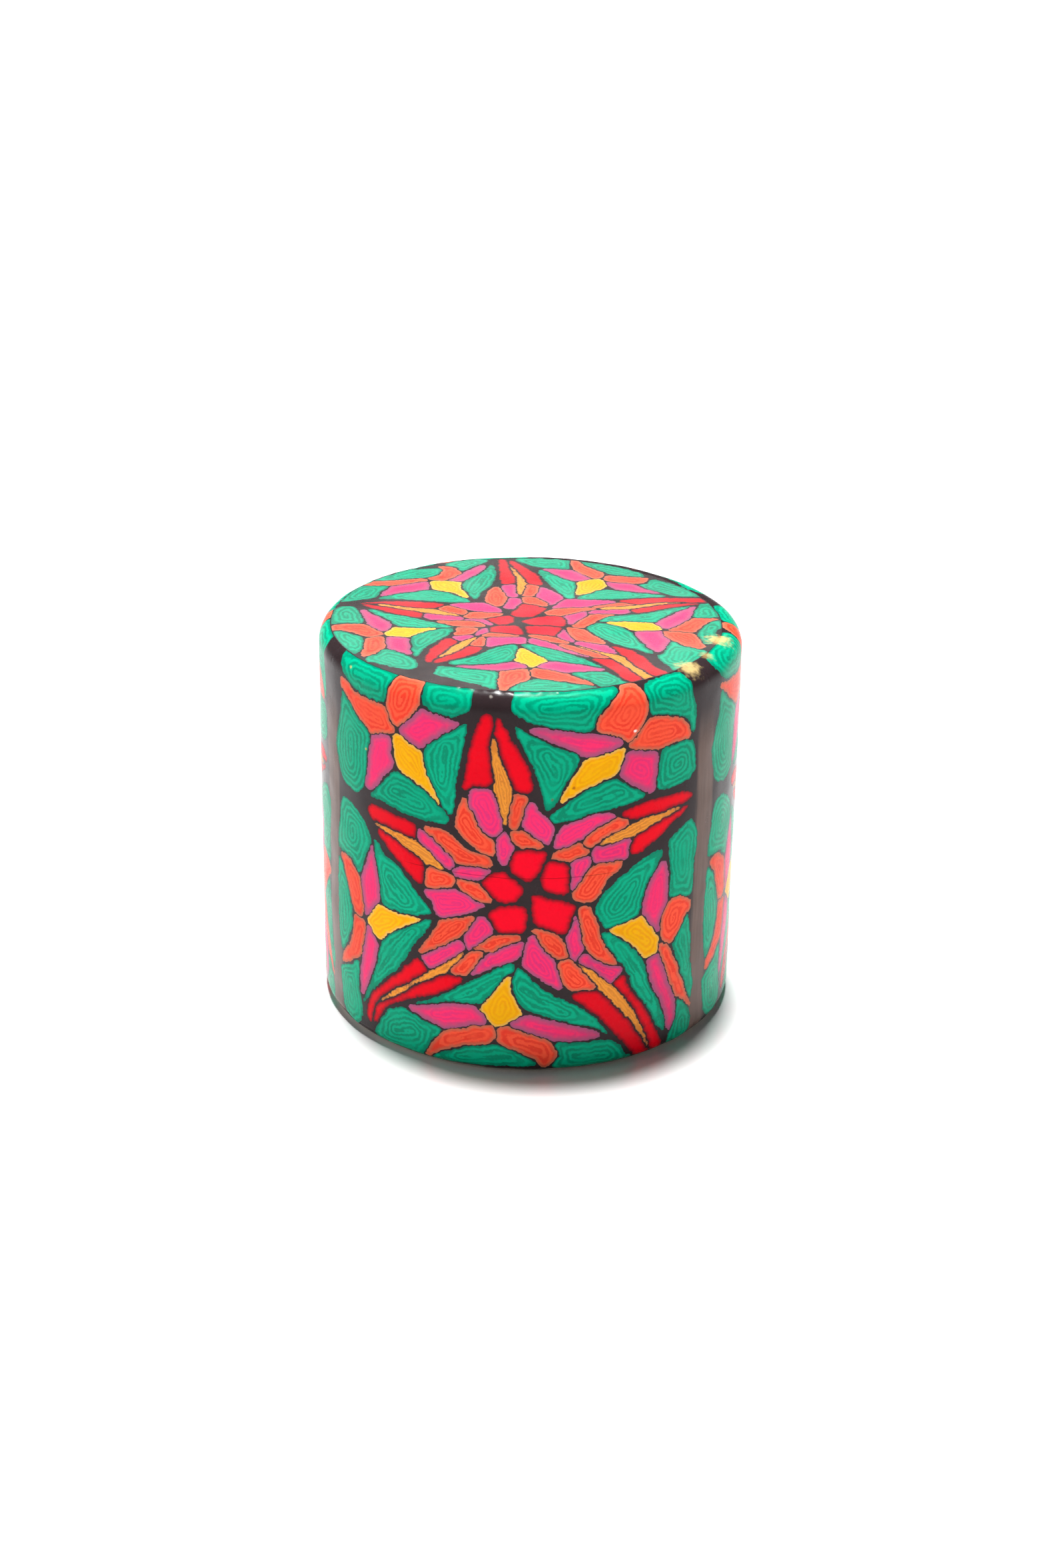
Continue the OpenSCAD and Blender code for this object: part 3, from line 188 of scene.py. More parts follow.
class Form:
    """The finished outside of the candle, as a place for every point of a slice."""

    def __init__(self, sizes):
        low, high = CAD_BOX
        self.radius = (high[0] - low[0]) / 2
        self.height = high[2] - low[2]
        self.top_round = sizes.top_round
        self.base_round = sizes.base_round
        self.sizes = sizes
        top_low, top_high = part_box("top_web")
        self.seam_radius = (top_high[0] - top_low[0]) / 2
        self.seam_middle = ((top_low[0] + top_high[0]) / 2, (top_low[1] + top_high[1]) / 2)
        self.slice_width = 2 * math.pi * self.radius / len(SIDE_SLICES)

    def section(self, height):
        """Radius and height of the outside at a distance along its upright line."""
        top, base = self.height - self.top_round, self.base_round
        up = np.clip((height - top) / self.top_round, 0, None)
        down = np.clip((base - height) / self.base_round, 0, None)
        radius = self.radius - self.top_round * (1 - np.cos(up)) - self.base_round * (1 - np.cos(down))
        level = np.clip(height, base, top) + self.top_round * np.sin(up) - self.base_round * np.sin(down)
        return radius, level

    def side_point(self, across, height, turn):
        radius, level = self.section(height)
        bearing = turn + across / self.radius
        return np.stack([radius * np.sin(bearing), -radius * np.cos(bearing), level], axis=-1)

    def side_place(self, points, turn):
        """The reverse of side_point, for points that lie on the outside."""
        bearing = np.arctan2(points[:, 0], -points[:, 1]) - turn
        bearing = (bearing + math.pi) % (2 * math.pi) - math.pi
        top, base = self.height - self.top_round, self.base_round
        reach, level = np.hypot(points[:, 0], points[:, 1]), points[:, 2]
        past_top = np.clip(reach - self.radius + self.top_round, TINY, None)
        past_base = np.clip(reach - self.radius + base, TINY, None)
        up = np.arctan2(np.clip(level - top, 0, None), past_top)
        down = np.arctan2(np.clip(base - level, 0, None), past_base)
        height = np.clip(level, base, top) + up * self.top_round - down * base
        return np.stack([bearing * self.radius, height], axis=-1)

    def top_point(self, x, y):
        out = np.clip(np.hypot(x, y) - self.radius + self.top_round, 0, None)
        drop = self.top_round - np.sqrt(np.clip(self.top_round ** 2 - out ** 2, 0, None))
        return np.stack([x, y, self.height - drop], axis=-1)

    def depth(self, points):
        """How far below the outside each point lies."""
        reach, level = np.hypot(points[:, 0], points[:, 1]), points[:, 2]
        top, base = self.height - self.top_round, self.base_round
        flat = np.minimum(self.radius - reach, self.height - level)
        out_top = np.hypot(reach - self.radius + self.top_round, level - top)
        out_base = np.hypot(reach - self.radius + base, base - level)
        in_top = (level > top) & (reach > self.radius - self.top_round)
        in_base = (level < base) & (reach > self.radius - base)
        return np.where(in_top, self.top_round - out_top, np.where(in_base, base - out_base, flat))

    def seam_reach(self, bearing):
        """Distance from the axis to the seam, in a direction."""
        along = self.seam_middle[0] * np.sin(bearing) - self.seam_middle[1] * np.cos(bearing)
        offset = math.hypot(*self.seam_middle)
        return along + np.sqrt(self.seam_radius ** 2 - offset ** 2 + along ** 2)

    def seam_height(self, across, turn):
        """Where a side slice ends at the seam, as a distance along its upright line."""
        reach = self.seam_reach(turn + across / self.radius)
        bend = np.arccos(np.clip((reach - self.radius + self.top_round) / self.top_round, -1, 1))
        return self.height - self.top_round + bend * self.top_round

    def lowest(self):
        """Where the side slices end at the base, as a distance along their upright line."""
        return self.base_round * (1 - math.acos(1 - self.sizes.slice_t / self.base_round))

    def outward(self, points):
        """Direction straight out of the surface at points on the outside."""
        reach, level = np.hypot(points[:, 0], points[:, 1]), points[:, 2]
        low = level < self.height / 2
        radius = self.radius - np.where(low, self.base_round, self.top_round)
        rise = np.where(low, np.minimum(level - self.base_round, 0),
                        np.maximum(level - self.height + self.top_round, 0))
        side = np.maximum(reach - radius, 0) / np.maximum(reach, TINY)
        away = np.stack([points[:, 0] * side, points[:, 1] * side, rise], axis=-1)
        return away / np.linalg.norm(away, axis=1, keepdims=True)

    def worked(self, points):
        """The points as hand rolling leaves them, off the true form by a little."""
        moved, away = np.array(points, float), self.outward(points)
        for index, point in enumerate(points):
            place = Vector(point)
            rise = noise.noise(place / BROAD_ROLL) + 0.6 * noise.noise(place / FINE_ROLL)
            near_top = min(max((point[2] - self.height + 2 * self.top_round) / (2 * self.top_round), 0), 1)
            rise = rise * self.sizes.wave
            off_seam = math.dist(point[:2], self.seam_middle) - self.seam_radius
            if near_top > 0 and abs(off_seam) < BEAD_REACH and point[2] > self.height - self.top_round:
                bead = math.exp(-(off_seam / BEAD_WIDTH) ** 2)
                rise += bead * noise.noise(place / BEAD_LUMPS) * self.sizes.seam_bead
            moved[index] += away[index] * rise
            moved[index, 2] -= near_top * self.sizes.top_tilt * point[0] / self.radius
        return moved


def steps(start, stop, step):
    """Evenly spaced numbers from start to stop, about step apart."""
    return np.linspace(start, stop, max(2, int(round(abs(stop - start) / step)) + 1))


# ---------------------------------------------------------------- outlines of the cells


def outer_loops(node, form):
    """Outlines of the faces of a CAD node that lie on the outside of the candle, as loops of points."""
    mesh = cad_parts[node].data
    points = np.array([vertex.co for vertex in mesh.vertices])
    mesh.calc_loop_triangles()
    corners = np.array([triangle.vertices for triangle in mesh.loop_triangles])
    _, first, same = np.unique(
        np.round(points / WELD).astype(int), axis=0, return_index=True, return_inverse=True)
    points, corners = points[first], same.reshape(-1)[corners]
    outside = (form.depth(points) < SKIN)[corners].all(axis=1)
    a, b, c = (points[corners[:, k]] for k in range(3))
    facing = np.cross(b - a, c - a)
    middle = (a + b + c) / 3
    away = middle * [1, 1, 0]
    on_top = middle[:, 2:] > form.height - form.top_round
    away = away / np.linalg.norm(away, axis=1, keepdims=True) + on_top * [0, 0, 1]
    square = (facing * away).sum(axis=1) > 0.3 * np.linalg.norm(facing, axis=1)
    onward = {}
    edges = set()
    for triangle in corners[outside & square]:
        for k in range(3):
            edges.add((triangle[k], triangle[(k + 1) % 3]))
    for start, end in sorted(edges):
        if (end, start) not in edges:
            onward[start] = end
    loops = []
    while onward:
        start, end = onward.popitem()
        loop = [start]
        while end != start:
            loop.append(end)
            end = onward.pop(end)
        loops.append(points[loop])
    return loops


def turning(loop):
    """How far a closed loop turns at each of its points."""
    before = loop - np.roll(loop, 1, axis=0)
    after = np.roll(loop, -1, axis=0) - loop
    turned = np.arctan2(after[:, 1], after[:, 0]) - np.arctan2(before[:, 1], before[:, 0])
    return np.abs((turned + math.pi) % (2 * math.pi) - math.pi)


def smoothed(loop, step):
    """A closed curve through the real corners of a loop, with points about step apart."""
    corners = loop[turning(loop) > math.radians(3)]
    before, after = np.roll(corners, 1, axis=0), np.roll(corners, -1, axis=0)
    beyond = np.roll(corners, -2, axis=0)
    share = np.arange(8)[:, None, None] / 8
    curve = (2 * corners + (after - before) * share
             + (2 * before - 5 * corners + 4 * after - beyond) * share ** 2
             + (3 * corners - before - 3 * after + beyond) * share ** 3) / 2
    curve = curve.transpose(1, 0, 2).reshape(-1, 2)
    closed = np.vstack([curve, curve[:1]])
    run = np.concatenate([[0], np.cumsum(np.hypot(*np.diff(closed, axis=0).T))])
    places = np.linspace(0, run[-1], max(12, int(run[-1] / step)), endpoint=False)
    return np.stack([np.interp(places, run, closed[:, axis]) for axis in (0, 1)], axis=1)


def wavered(loop, reach, seed):
    """A loop with the small waver of a cane that was pulled and cut by hand."""
    moved = np.array(loop)
    for index, (x, y) in enumerate(loop):
        fine = noise.noise_vector(Vector((x, y, seed)) / FINE_WAVER)
        broad = noise.noise_vector(Vector((x, y, seed)) / BROAD_WAVER)
        moved[index] += reach * np.array((fine[0] + broad[0], fine[1] + broad[1]))
    return moved


def pulled(gap, pull, sizes):
    """Distance from an edge of the slice, once rolling has drawn the cells out by pull to reach it."""
    return np.where(gap < 3 * pull, (gap - pull) * 1.5, gap).clip(sizes.edge_gap)


def swollen(cells, owners, sizes):
    """The cells spread outwards, until only a thin line of dark wax is left between them."""
    grown = []
    for number, cell in enumerate(cells):
        others = np.vstack([other for index, other in enumerate(cells) if index != number])
        room = np.sqrt(((cell[:, None] - others) ** 2).sum(-1)).min(axis=1)
        most = sizes.green_swell if owners[number] == "green" else sizes.swell
        spread = np.clip((room - sizes.line) / 2, 0, most)
        spread = (np.roll(spread, 1) + spread + np.roll(spread, -1)) / 3
        run = np.roll(cell, -1, axis=0) - np.roll(cell, 1, axis=0)
        out = np.stack([run[:, 1], -run[:, 0]], axis=1) / (np.hypot(*run.T)[:, None] + 1e-12)
        area = (cell[:, 0] * np.roll(cell[:, 1], -1) - cell[:, 1] * np.roll(cell[:, 0], -1)).sum()
        grown.append(cell + out * np.sign(area) * spread[:, None])
    return grown


def within(points, loop):
    """Whether each point lies inside a closed loop."""
    start, end = loop, np.roll(loop, -1, axis=0)
    x, y = points[:, :1], points[:, 1:]
    straddles = (start[:, 1] > y) != (end[:, 1] > y)
    with np.errstate(divide="ignore", invalid="ignore"):
        crossing = start[:, 0] + (y - start[:, 1]) * (end[:, 0] - start[:, 0]) / (end[:, 1] - start[:, 1])
    return (straddles & (x < crossing)).sum(axis=1) % 2 == 1


def edge_distance(points, loop):
    """Distance from each point to a closed loop."""
    start, run = loop, np.roll(loop, -1, axis=0) - loop
    along = ((points[:, None] - start) * run).sum(-1) / (run ** 2).sum(-1)
    nearest = start + run * np.clip(along, 0, 1)[..., None]
    return np.sqrt(((points[:, None] - nearest) ** 2).sum(-1)).min(axis=1)


# ---------------------------------------------------------------- cutting a slice


class Slice:
    """One slice of the cane, triangulated so that its cells and its web share their edges."""

    def __init__(self, name, form, border, place, keep_in, seed):
        self.name, self.form, self.place = name, form, place
        sizes = form.sizes
        noise.seed_set(WAVER_SEED)
        coarse = 1.0
        cells, self.owners = [], []
        for group in GROUPS:
            for loop in outer_loops(f"{name}_{group}", form):
                flat = loop[:, :2] if name == "top" else form.side_place(loop, place.turn)
                cells.append(smoothed(flat, sizes.outline_step * coarse))
                self.owners.append(group)
        cells = [keep_in(wavered(cell, sizes.tremor, seed)) for cell in swollen(cells, self.owners, sizes)]
        self.outlines = [np.round(loop, DIGITS) for loop in (border, *cells)]
        self.fill(self.outlines, self.outlines[0], sizes.mesh_step * coarse)

    def fill(self, outlines, border, step):
        """Triangulates the slice with the outlines as fixed edges, and sorts the faces by cell."""
        flat = np.vstack(outlines)
        tree = kdtree.KDTree(len(flat))
        for index, (x, y) in enumerate(flat):
            tree.insert((x, y, 0), index)
        tree.balance()
        low, high = border.min(axis=0), border.max(axis=0)
        grid = np.array([
            (x, y) for row, y in enumerate(steps(low[1], high[1], step * 0.87))
            for x in steps(low[0], high[0], step) + (row % 2) * step / 2])
        inner = [(x, y) for x, y in grid[within(grid, border)] if tree.find((x, y, 0))[2] > step * 0.4]
        points = [Vector(point) / MM for point in flat] + [Vector(point) / MM for point in inner]
        edges, count = [], 0
        for loop in outlines:
            edges += [(count + k, count + (k + 1) % len(loop)) for k in range(len(loop))]
            count += len(loop)
        spots, _, triangles, origins, _, _ = delaunay_2d_cdt(points, edges, [], 0, 1e-6, True)
        spots, triangles = np.array([spot[:] for spot in spots]) * MM, np.array(triangles)
        a, b, c = (spots[triangles[:, k]] for k in range(3))
        area = (b[:, 0] - a[:, 0]) * (c[:, 1] - a[:, 1]) - (c[:, 0] - a[:, 0]) * (b[:, 1] - a[:, 1])
        triangles = np.where(area[:, None] < 0, triangles[:, ::-1], triangles)
        middles = (a + b + c) / 3
        cell = np.zeros(len(triangles), int)
        for number, loop in enumerate(outlines[1:]):
            low, high = loop.min(axis=0), loop.max(axis=0)
            near = np.flatnonzero(((middles > low) & (middles < high)).all(axis=1))
            cell[near[within(middles[near], loop)]] = number + 1
        kept = within(middles, border) & (np.abs(area) > 1e-6 * MM * MM)
        triangles, cell, middles = triangles[kept], cell[kept], middles[kept]
        # A narrow tip has all its corners on its outline, so a point in each face there
        # carries the colour of its middle.
        drawn = np.array([not origin or min(origin) < count for origin in origins])
        narrow = drawn[triangles].all(axis=1) & (cell > 0)
        corners = triangles[narrow]
        extra = len(spots) + np.arange(len(corners))
        fans = [np.stack([corners[:, k], corners[:, (k + 1) % 3], extra], axis=1) for k in range(3)]
        self.flat = np.vstack([spots, middles[narrow]])
        self.triangles = np.vstack([triangles[~narrow], *fans])
        self.cell = np.concatenate([cell[~narrow], *[cell[narrow]] * 3])
        self.out = self.form.outward(self.place(self.flat))
        self.points = self.form.worked(self.place(self.flat))

    def pieces(self):
        """Name, faces and cell numbers of the web and of each colour of cell."""
        yield "web", np.flatnonzero(self.cell == 0)
        for group in GROUPS:
            cells = [number + 1 for number, owner in enumerate(self.owners) if owner == group]
            yield group, np.flatnonzero(np.isin(self.cell, cells))


class SidePlace:
    """Puts the flat points of a side slice round the candle."""

    def __init__(self, form, turn):
        self.form, self.turn = form, turn

    def __call__(self, flat):
        return self.form.side_point(flat[:, 0], flat[:, 1], self.turn)


class TopPlace:
    """Puts the flat points of the top slice on the top."""

    turn = 0.0

    def __init__(self, form):
        self.form = form

    def __call__(self, flat):
        return self.form.top_point(flat[:, 0], flat[:, 1])


def side_border(form, turn):
    """Outline of a side slice: up its right edge, back along the seam, down its left edge."""
    half, low = form.slice_width / 2, form.lowest()
    step = form.sizes.mesh_step
    across = steps(-half, half, step)
    seam = form.seam_height(across, turn)
    base = np.stack([across, np.full(len(across), low)], axis=1)
    right = np.stack([np.full(UPRIGHT_STEPS, half), np.linspace(low, seam[-1], UPRIGHT_STEPS)], axis=1)
    left = np.stack([np.full(UPRIGHT_STEPS, -half), np.linspace(seam[0], low, UPRIGHT_STEPS)], axis=1)
    top = np.stack([across, seam], axis=1)[::-1]
    return np.vstack([base[:-1], right[:-1], top[:-1], left[:-1]])


def top_border(form):
    """Outline of the top slice, with a point wherever a side slice has one."""
    step = form.sizes.mesh_step
    half = form.slice_width / 2
    bearings = []
    for number in range(len(SIDE_SLICES)):
        turn = form.sizes.front_turn + number * 2 * math.pi / len(SIDE_SLICES)
        bearings.append(turn + steps(-half, half, step)[:-1] / form.radius)
    bearing = np.concatenate(bearings)
    reach = form.seam_reach(bearing)
    return np.stack([reach * np.sin(bearing), -reach * np.cos(bearing)], axis=1)


def cell_pattern(piece):
    """Ring number, turn and distance from the edge at every point of each cell of a slice."""
    count = len(piece.flat)
    ring, edge, tone = np.zeros(count), np.zeros(count), np.zeros(count)
    turn = np.zeros(piece.triangles.shape)
    for number, owner in enumerate(piece.owners):
        faces = np.flatnonzero(piece.cell == number + 1)
        if not len(faces):
            continue
        inside = np.unique(piece.triangles[faces])
        spots = piece.flat[inside]
        gap = edge_distance(spots, piece.outlines[number + 1])
        weight = gap ** 3 + 1e-15
        middle = (spots * weight[:, None]).sum(axis=0) / weight.sum()
        lean = spots - middle
        values, axes = np.linalg.eigh((lean * gap[:, None]).T @ lean)
        axis, side = axes[:, 1], np.array([-axes[1, 1], axes[0, 1]])
        along, off = lean @ axis, lean @ side
        half_line = RING_LINE * max(np.ptp(along) - np.ptp(off), 0)
        inner = np.hypot(along - np.clip(along, -half_line, half_line), off)
        part = inner / (inner + gap + TINY)
        rings = max(1.0, gap.max() / (PITCH[owner] * MM))
        seed = Vector((middle[0], middle[1], 0.01)) * SEED_CELLS
        ring[inside] = part * rings
        edge[inside] = gap
        tone[inside] = noise.cell(seed)
        stretch = np.ptp(along) / max(np.ptp(off), TINY)
        local = piece.flat[piece.triangles[faces]] - middle
        angles = np.arctan2(local @ side * stretch, local @ axis) / (2 * math.pi) + noise.cell(seed * 2)
        angles -= np.round(angles - angles[:, :1])
        turn[faces] = angles
    return ring, edge, tone, turn


PITCH = {
    "green": 0.95, "lily_yellow": 0.75, "lily_pink": 0.8, "lily_orange": 0.85, "arm_red": 0.9,
    "stamen": 0.5, "arm_pink": 0.65, "arm_orange": 0.62, "heart_red": 0.9,
}


# ---------------------------------------------------------------- mesh helpers


def only(obj):
    """Makes obj the one selected object."""
    bpy.ops.object.select_all(action="DESELECT")
    obj.select_set(True)
    bpy.context.view_layer.objects.active = obj


def mesh_object(name, points, faces):
    mesh = bpy.data.meshes.new(name)
    mesh.from_pydata([tuple(point) for point in points], [], [tuple(int(k) for k in face) for face in faces])
    obj = bpy.data.objects.new(name, mesh)
    bpy.context.scene.collection.objects.link(obj)
    return obj


def finish_piece(obj, node, material):
    """Gives a piece its material, and puts it in the place of its CAD node."""
    obj.data.materials.clear()
    obj.data.materials.append(material)
    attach(obj, "root")
    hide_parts(node)
    return obj


def shell(corners, first, count):
    """Faces of a closed shell on one patch: the outer face, the inner face and the wall round it.

    Each item is the points and the face corners that they come from."""
    order = np.arange(corners.size).reshape(-1, 3)
    starts, ends = corners.reshape(-1), np.roll(corners, -1, axis=1).reshape(-1)
    onward = np.roll(order, -1, axis=1).reshape(-1)
    rim = ~np.isin(starts * count + ends, ends * count + starts)
    a, b, at_a, at_b = starts[rim], ends[rim], order.reshape(-1)[rim], onward[rim]
    walls = np.stack([b, a, a + count, b + count], axis=1)
    return [
        (corners + first, order),
        (corners[:, ::-1] + count + first, order[:, ::-1]),
        (walls + first, np.stack([at_b, at_a, at_a, at_b], axis=1)),
    ]


def slice_piece(piece, group, faces, pattern, material):
    """The closed solids of one colour of a slice, as thick as the slice, with their pattern."""
    ring, edge, tone, turn = pattern
    points, polygons, uv, near, tones, first = [], [], [], [], [], 0
    for number in np.unique(piece.cell[faces]):
        own = faces[piece.cell[faces] == number]
        used, corners = np.unique(piece.triangles[own], return_inverse=True)
        corners = corners.reshape(-1, 3)
        places = piece.flat[used][corners.reshape(-1)] / (100 * MM)
        if group != "web":
            places = np.stack([turn[own].reshape(-1), ring[used][corners.reshape(-1)]], axis=1)
        outer = piece.points[used]
        points += [outer, outer - piece.out[used] * piece.form.sizes.slice_t]
        near += [edge[used]] * 2
        tones += [tone[used]] * 2
        for shape, sources in shell(corners, first, len(used)):
            polygons += shape.tolist()
            uv.append(places[sources.reshape(-1)])
        first += 2 * len(used)
    obj = mesh_object(f"{piece.name}_{group}_wax", np.vstack(points), polygons)
    mesh = obj.data
    mesh.uv_layers.new(name="Pattern").data.foreach_set("uv", np.vstack(uv).astype(np.float32).reshape(-1))
    for label, values in (("edge", np.concatenate(near) / MM), ("tone", np.concatenate(tones))):
        mesh.attributes.new(label, "FLOAT", "POINT").data.foreach_set("value", values.astype(np.float32))
    only(obj)
    bpy.ops.object.shade_smooth_by_angle(angle=math.radians(40))
    return finish_piece(obj, f"{piece.name}_{group}", material)


# ---------------------------------------------------------------- shader maths


class Shade:
    """A socket, or a number, that can be used in Python expressions."""

    def __init__(self, sheet, socket):
        self.sheet, self.socket = sheet, socket

    def sum(self, kind, other, swap=False):
        values = (other, self) if swap else (self, other)
        return self.sheet.node("ShaderNodeMath", {"operation": kind}, {0: values[0], 1: values[1]})

    def __add__(self, other):
        return self.sum("ADD", other)

    def __radd__(self, other):
        return self.sum("ADD", other)

    def __sub__(self, other):
        return self.sum("SUBTRACT", other)

    def __rsub__(self, other):
        return self.sum("SUBTRACT", other, swap=True)

    def __mul__(self, other):
        return self.sum("MULTIPLY", other)

    def __rmul__(self, other):
        return self.sum("MULTIPLY", other)

    def __truediv__(self, other):
        return self.sum("DIVIDE", other)

    def raised(self, low, high):
        """0 below low, 1 above high, and smooth between; low may be the larger."""
        return self.sheet.node(
            "ShaderNodeMapRange", {"interpolation_type": "SMOOTHSTEP"},
            {"Value": self, "From Min": low, "From Max": high, "To Min": 0.0, "To Max": 1.0}, output="Result")


class Sheet:
    """A material's node tree, with one way of making any node."""

    def __init__(self, name):
        self.material = bpy.data.materials.new(name)
        self.material.use_nodes = True
        self.tree = self.material.node_tree
        self.shader = self.tree.nodes["Principled BSDF"]
        self.places = self.node("ShaderNodeTexCoord", {}, {}, output="Object")

    def node(self, kind, settings, inputs, output=0):
        made = self.tree.nodes.new(kind)
        for key, value in settings.items():
            setattr(made, key, value)
        for key, value in inputs.items():
            self.feed(made.inputs[key], value)
        return Shade(self, made.outputs[output])

    def feed(self, socket, value):
        if isinstance(value, Shade):
            self.tree.links.new(value.socket, socket)
        elif hasattr(socket.default_value, "__len__") and len(socket.default_value) == 4 and len(value) == 3:
            socket.default_value = (*value, 1.0)
        else:
            socket.default_value = value

    def attribute(self, name):
        return self.node("ShaderNodeAttribute", {"attribute_name": name}, {}, output="Fac")

    def pattern(self):
        """The two numbers of the piece's Pattern map."""
        place = self.node("ShaderNodeUVMap", {"uv_map": "Pattern"}, {})
        parts = self.tree.nodes.new("ShaderNodeSeparateXYZ")
        self.tree.links.new(place.socket, parts.inputs[0])
        return Shade(self, parts.outputs[0]), Shade(self, parts.outputs[1]), place

    def axes(self):
        """Object coordinates as three numbers."""
        parts = self.tree.nodes.new("ShaderNodeSeparateXYZ")
        self.tree.links.new(self.places.socket, parts.inputs[0])
        return tuple(Shade(self, parts.outputs[k]) for k in range(3))

    def grain(self, size, detail=2.0, place=None, roughness=0.5, distortion=0.0):
        """Noise whose lumps are about size across, from 0 to 1."""
        return self.node(
            "ShaderNodeTexNoise", {},
            {"Vector": place or self.places, "Scale": 1 / size, "Detail": detail, "Roughness": roughness,
             "Distortion": distortion}, output="Fac")

    def mix(self, share, low, high):
        """Colour low where share is 0 and colour high where it is 1."""
        made = self.tree.nodes.new("ShaderNodeMix")
        made.data_type = "RGBA"
        for socket, value in ((made.inputs[0], share), (made.inputs[6], low), (made.inputs[7], high)):
            self.feed(socket, value)
        return Shade(self, made.outputs[2])

    def tint(self, base, brightness):
        """A colour made brighter or darker by a number."""
        made = self.tree.nodes.new("ShaderNodeVectorMath")
        made.operation = "SCALE"
        self.feed(made.inputs[0], base)
        self.feed(made.inputs["Scale"], brightness)
        return Shade(self, made.outputs[0])

    def bump(self, height, strength, distance):
        return self.node("ShaderNodeBump", {}, {"Height": height, "Strength": strength, "Distance": distance})

    def finish(self, **sockets):
        for name, value in sockets.items():
            self.feed(self.shader.inputs[name.replace("_", " ")], value)
        return self.material


TOP_SHINE = 0.32
SIDE_SHINE = 0.06
WEB_SHINE = 0.12


def gloss(sheet, dull):
    """Roughness of hand polished wax: smeared patches, and fine scuffs."""
    smear = sheet.grain(6 * MM, 3.0)
    scuff = sheet.grain(0.7 * MM, 2.0)
    return dull + 0.16 * smear + 0.08 * scuff


MARKS = (
    # Small marks of handling: place and reach in mm, colour, strength.
    ((33.0, -9.0, 71.0), 3.2, (235, 190, 120), 0.75),
    ((27.0, -22.5, 71.3), 3.0, (225, 196, 130), 0.7),
    ((30.5, -17.0, 71.6), 1.8, (225, 190, 120), 0.4),
    ((-31.0, -21.5, 70.5), 0.5, (240, 190, 90), 0.9),
    ((-28.0, -25.5, 57.0), 0.4, (235, 180, 90), 0.8),
    ((4.0, -37.6, 53.2), 0.45, (110, 60, 30), 0.8),
    ((7.6, -37.2, 55.2), 0.45, (150, 70, 20), 0.7),
    ((17.8, -33.5, 64.2), 0.4, (255, 250, 240), 0.95),
    ((4.6, -35.6, 71.9), 0.4, (255, 250, 240), 0.9),
    ((17.0, -32.0, 71.8), 0.4, (225, 215, 205), 0.5),
    ((-6.5, -36.3, 71.2), 0.45, (205, 198, 190), 0.4),
)


def marked(sheet, base):
    """Smudges, flecks and the fine crack round the middle, which run over all the waxes."""
    rough = sheet.grain(0.9 * MM, 3.0) - 0.5
    for place, reach, screen, strength in MARKS:
        away = sheet.node("ShaderNodeVectorMath", {"operation": "DISTANCE"}, {
            0: sheet.places, 1: tuple(value * MM for value in place)}, output="Value")
        mask = (away / (reach * MM) + 1.2 * rough).raised(1.0, 0.2)
        base = sheet.mix(mask * strength, base, rgb(*screen))
    x, y, z = sheet.axes()
    wander = 0.9 * MM * (sheet.grain(8 * MM, 3.0) - 0.5)
    off = sheet.node("ShaderNodeMath", {"operation": "ABSOLUTE"}, {0: z + wander - 38.5 * MM})
    side = sheet.node("ShaderNodeMath", {"operation": "ABSOLUTE"}, {0: x + 3 * MM})
    crack = off.raised(0.10 * MM, 0.03 * MM) * side.raised(19 * MM, 16 * MM) * y.raised(0.0, -5 * MM)
    return sheet.tint(base, 1.0 - 0.45 * crack)


def wax_surface(sheet, base, dull=0.16, shine=0.5):
    """Finishes a wax material: shine, fine dimples and a little light let in."""
    base = marked(sheet, base)
    dimples = sheet.grain(1.1 * MM, 3.0)
    ripples = sheet.grain(5 * MM, 2.0)
    normal = sheet.bump(0.35 * dimples + 0.65 * ripples, 0.35, 0.12 * MM)
    shader = sheet.shader
    shader.inputs["IOR"].default_value = 1.42
    shader.inputs["Specular IOR Level"].default_value = shine
    shader.inputs["Subsurface Weight"].default_value = 0.12
    shader.inputs["Subsurface Radius"].default_value = (1.0, 0.5, 0.4)
    shader.inputs["Subsurface Scale"].default_value = 1.2 * MM
    return sheet.finish(Base_Color=base, Roughness=gloss(sheet, dull), Normal=normal)


def painted_top_shade_and_reflection(sheet, base, colours, painted_reflection):
    """Top wax with painted light: its colour darkened into a shaded copy as painted shade against the stronger
    overhead light, and a thin pale painted reflection of the white surroundings mixed in patches.
    """
    if not painted_reflection:
        return base
    # Painted shade and painted reflection: the top copy of each wax is darkened to 0.79, and the pale colour of
    # the mirrored white surroundings is mixed in, in patches.
    reflection_patches = sheet.grain(9 * MM, 3.0)
    return sheet.mix(painted_reflection * reflection_patches, sheet.tint(base, 0.79), tuple(colours.painted_reflection))


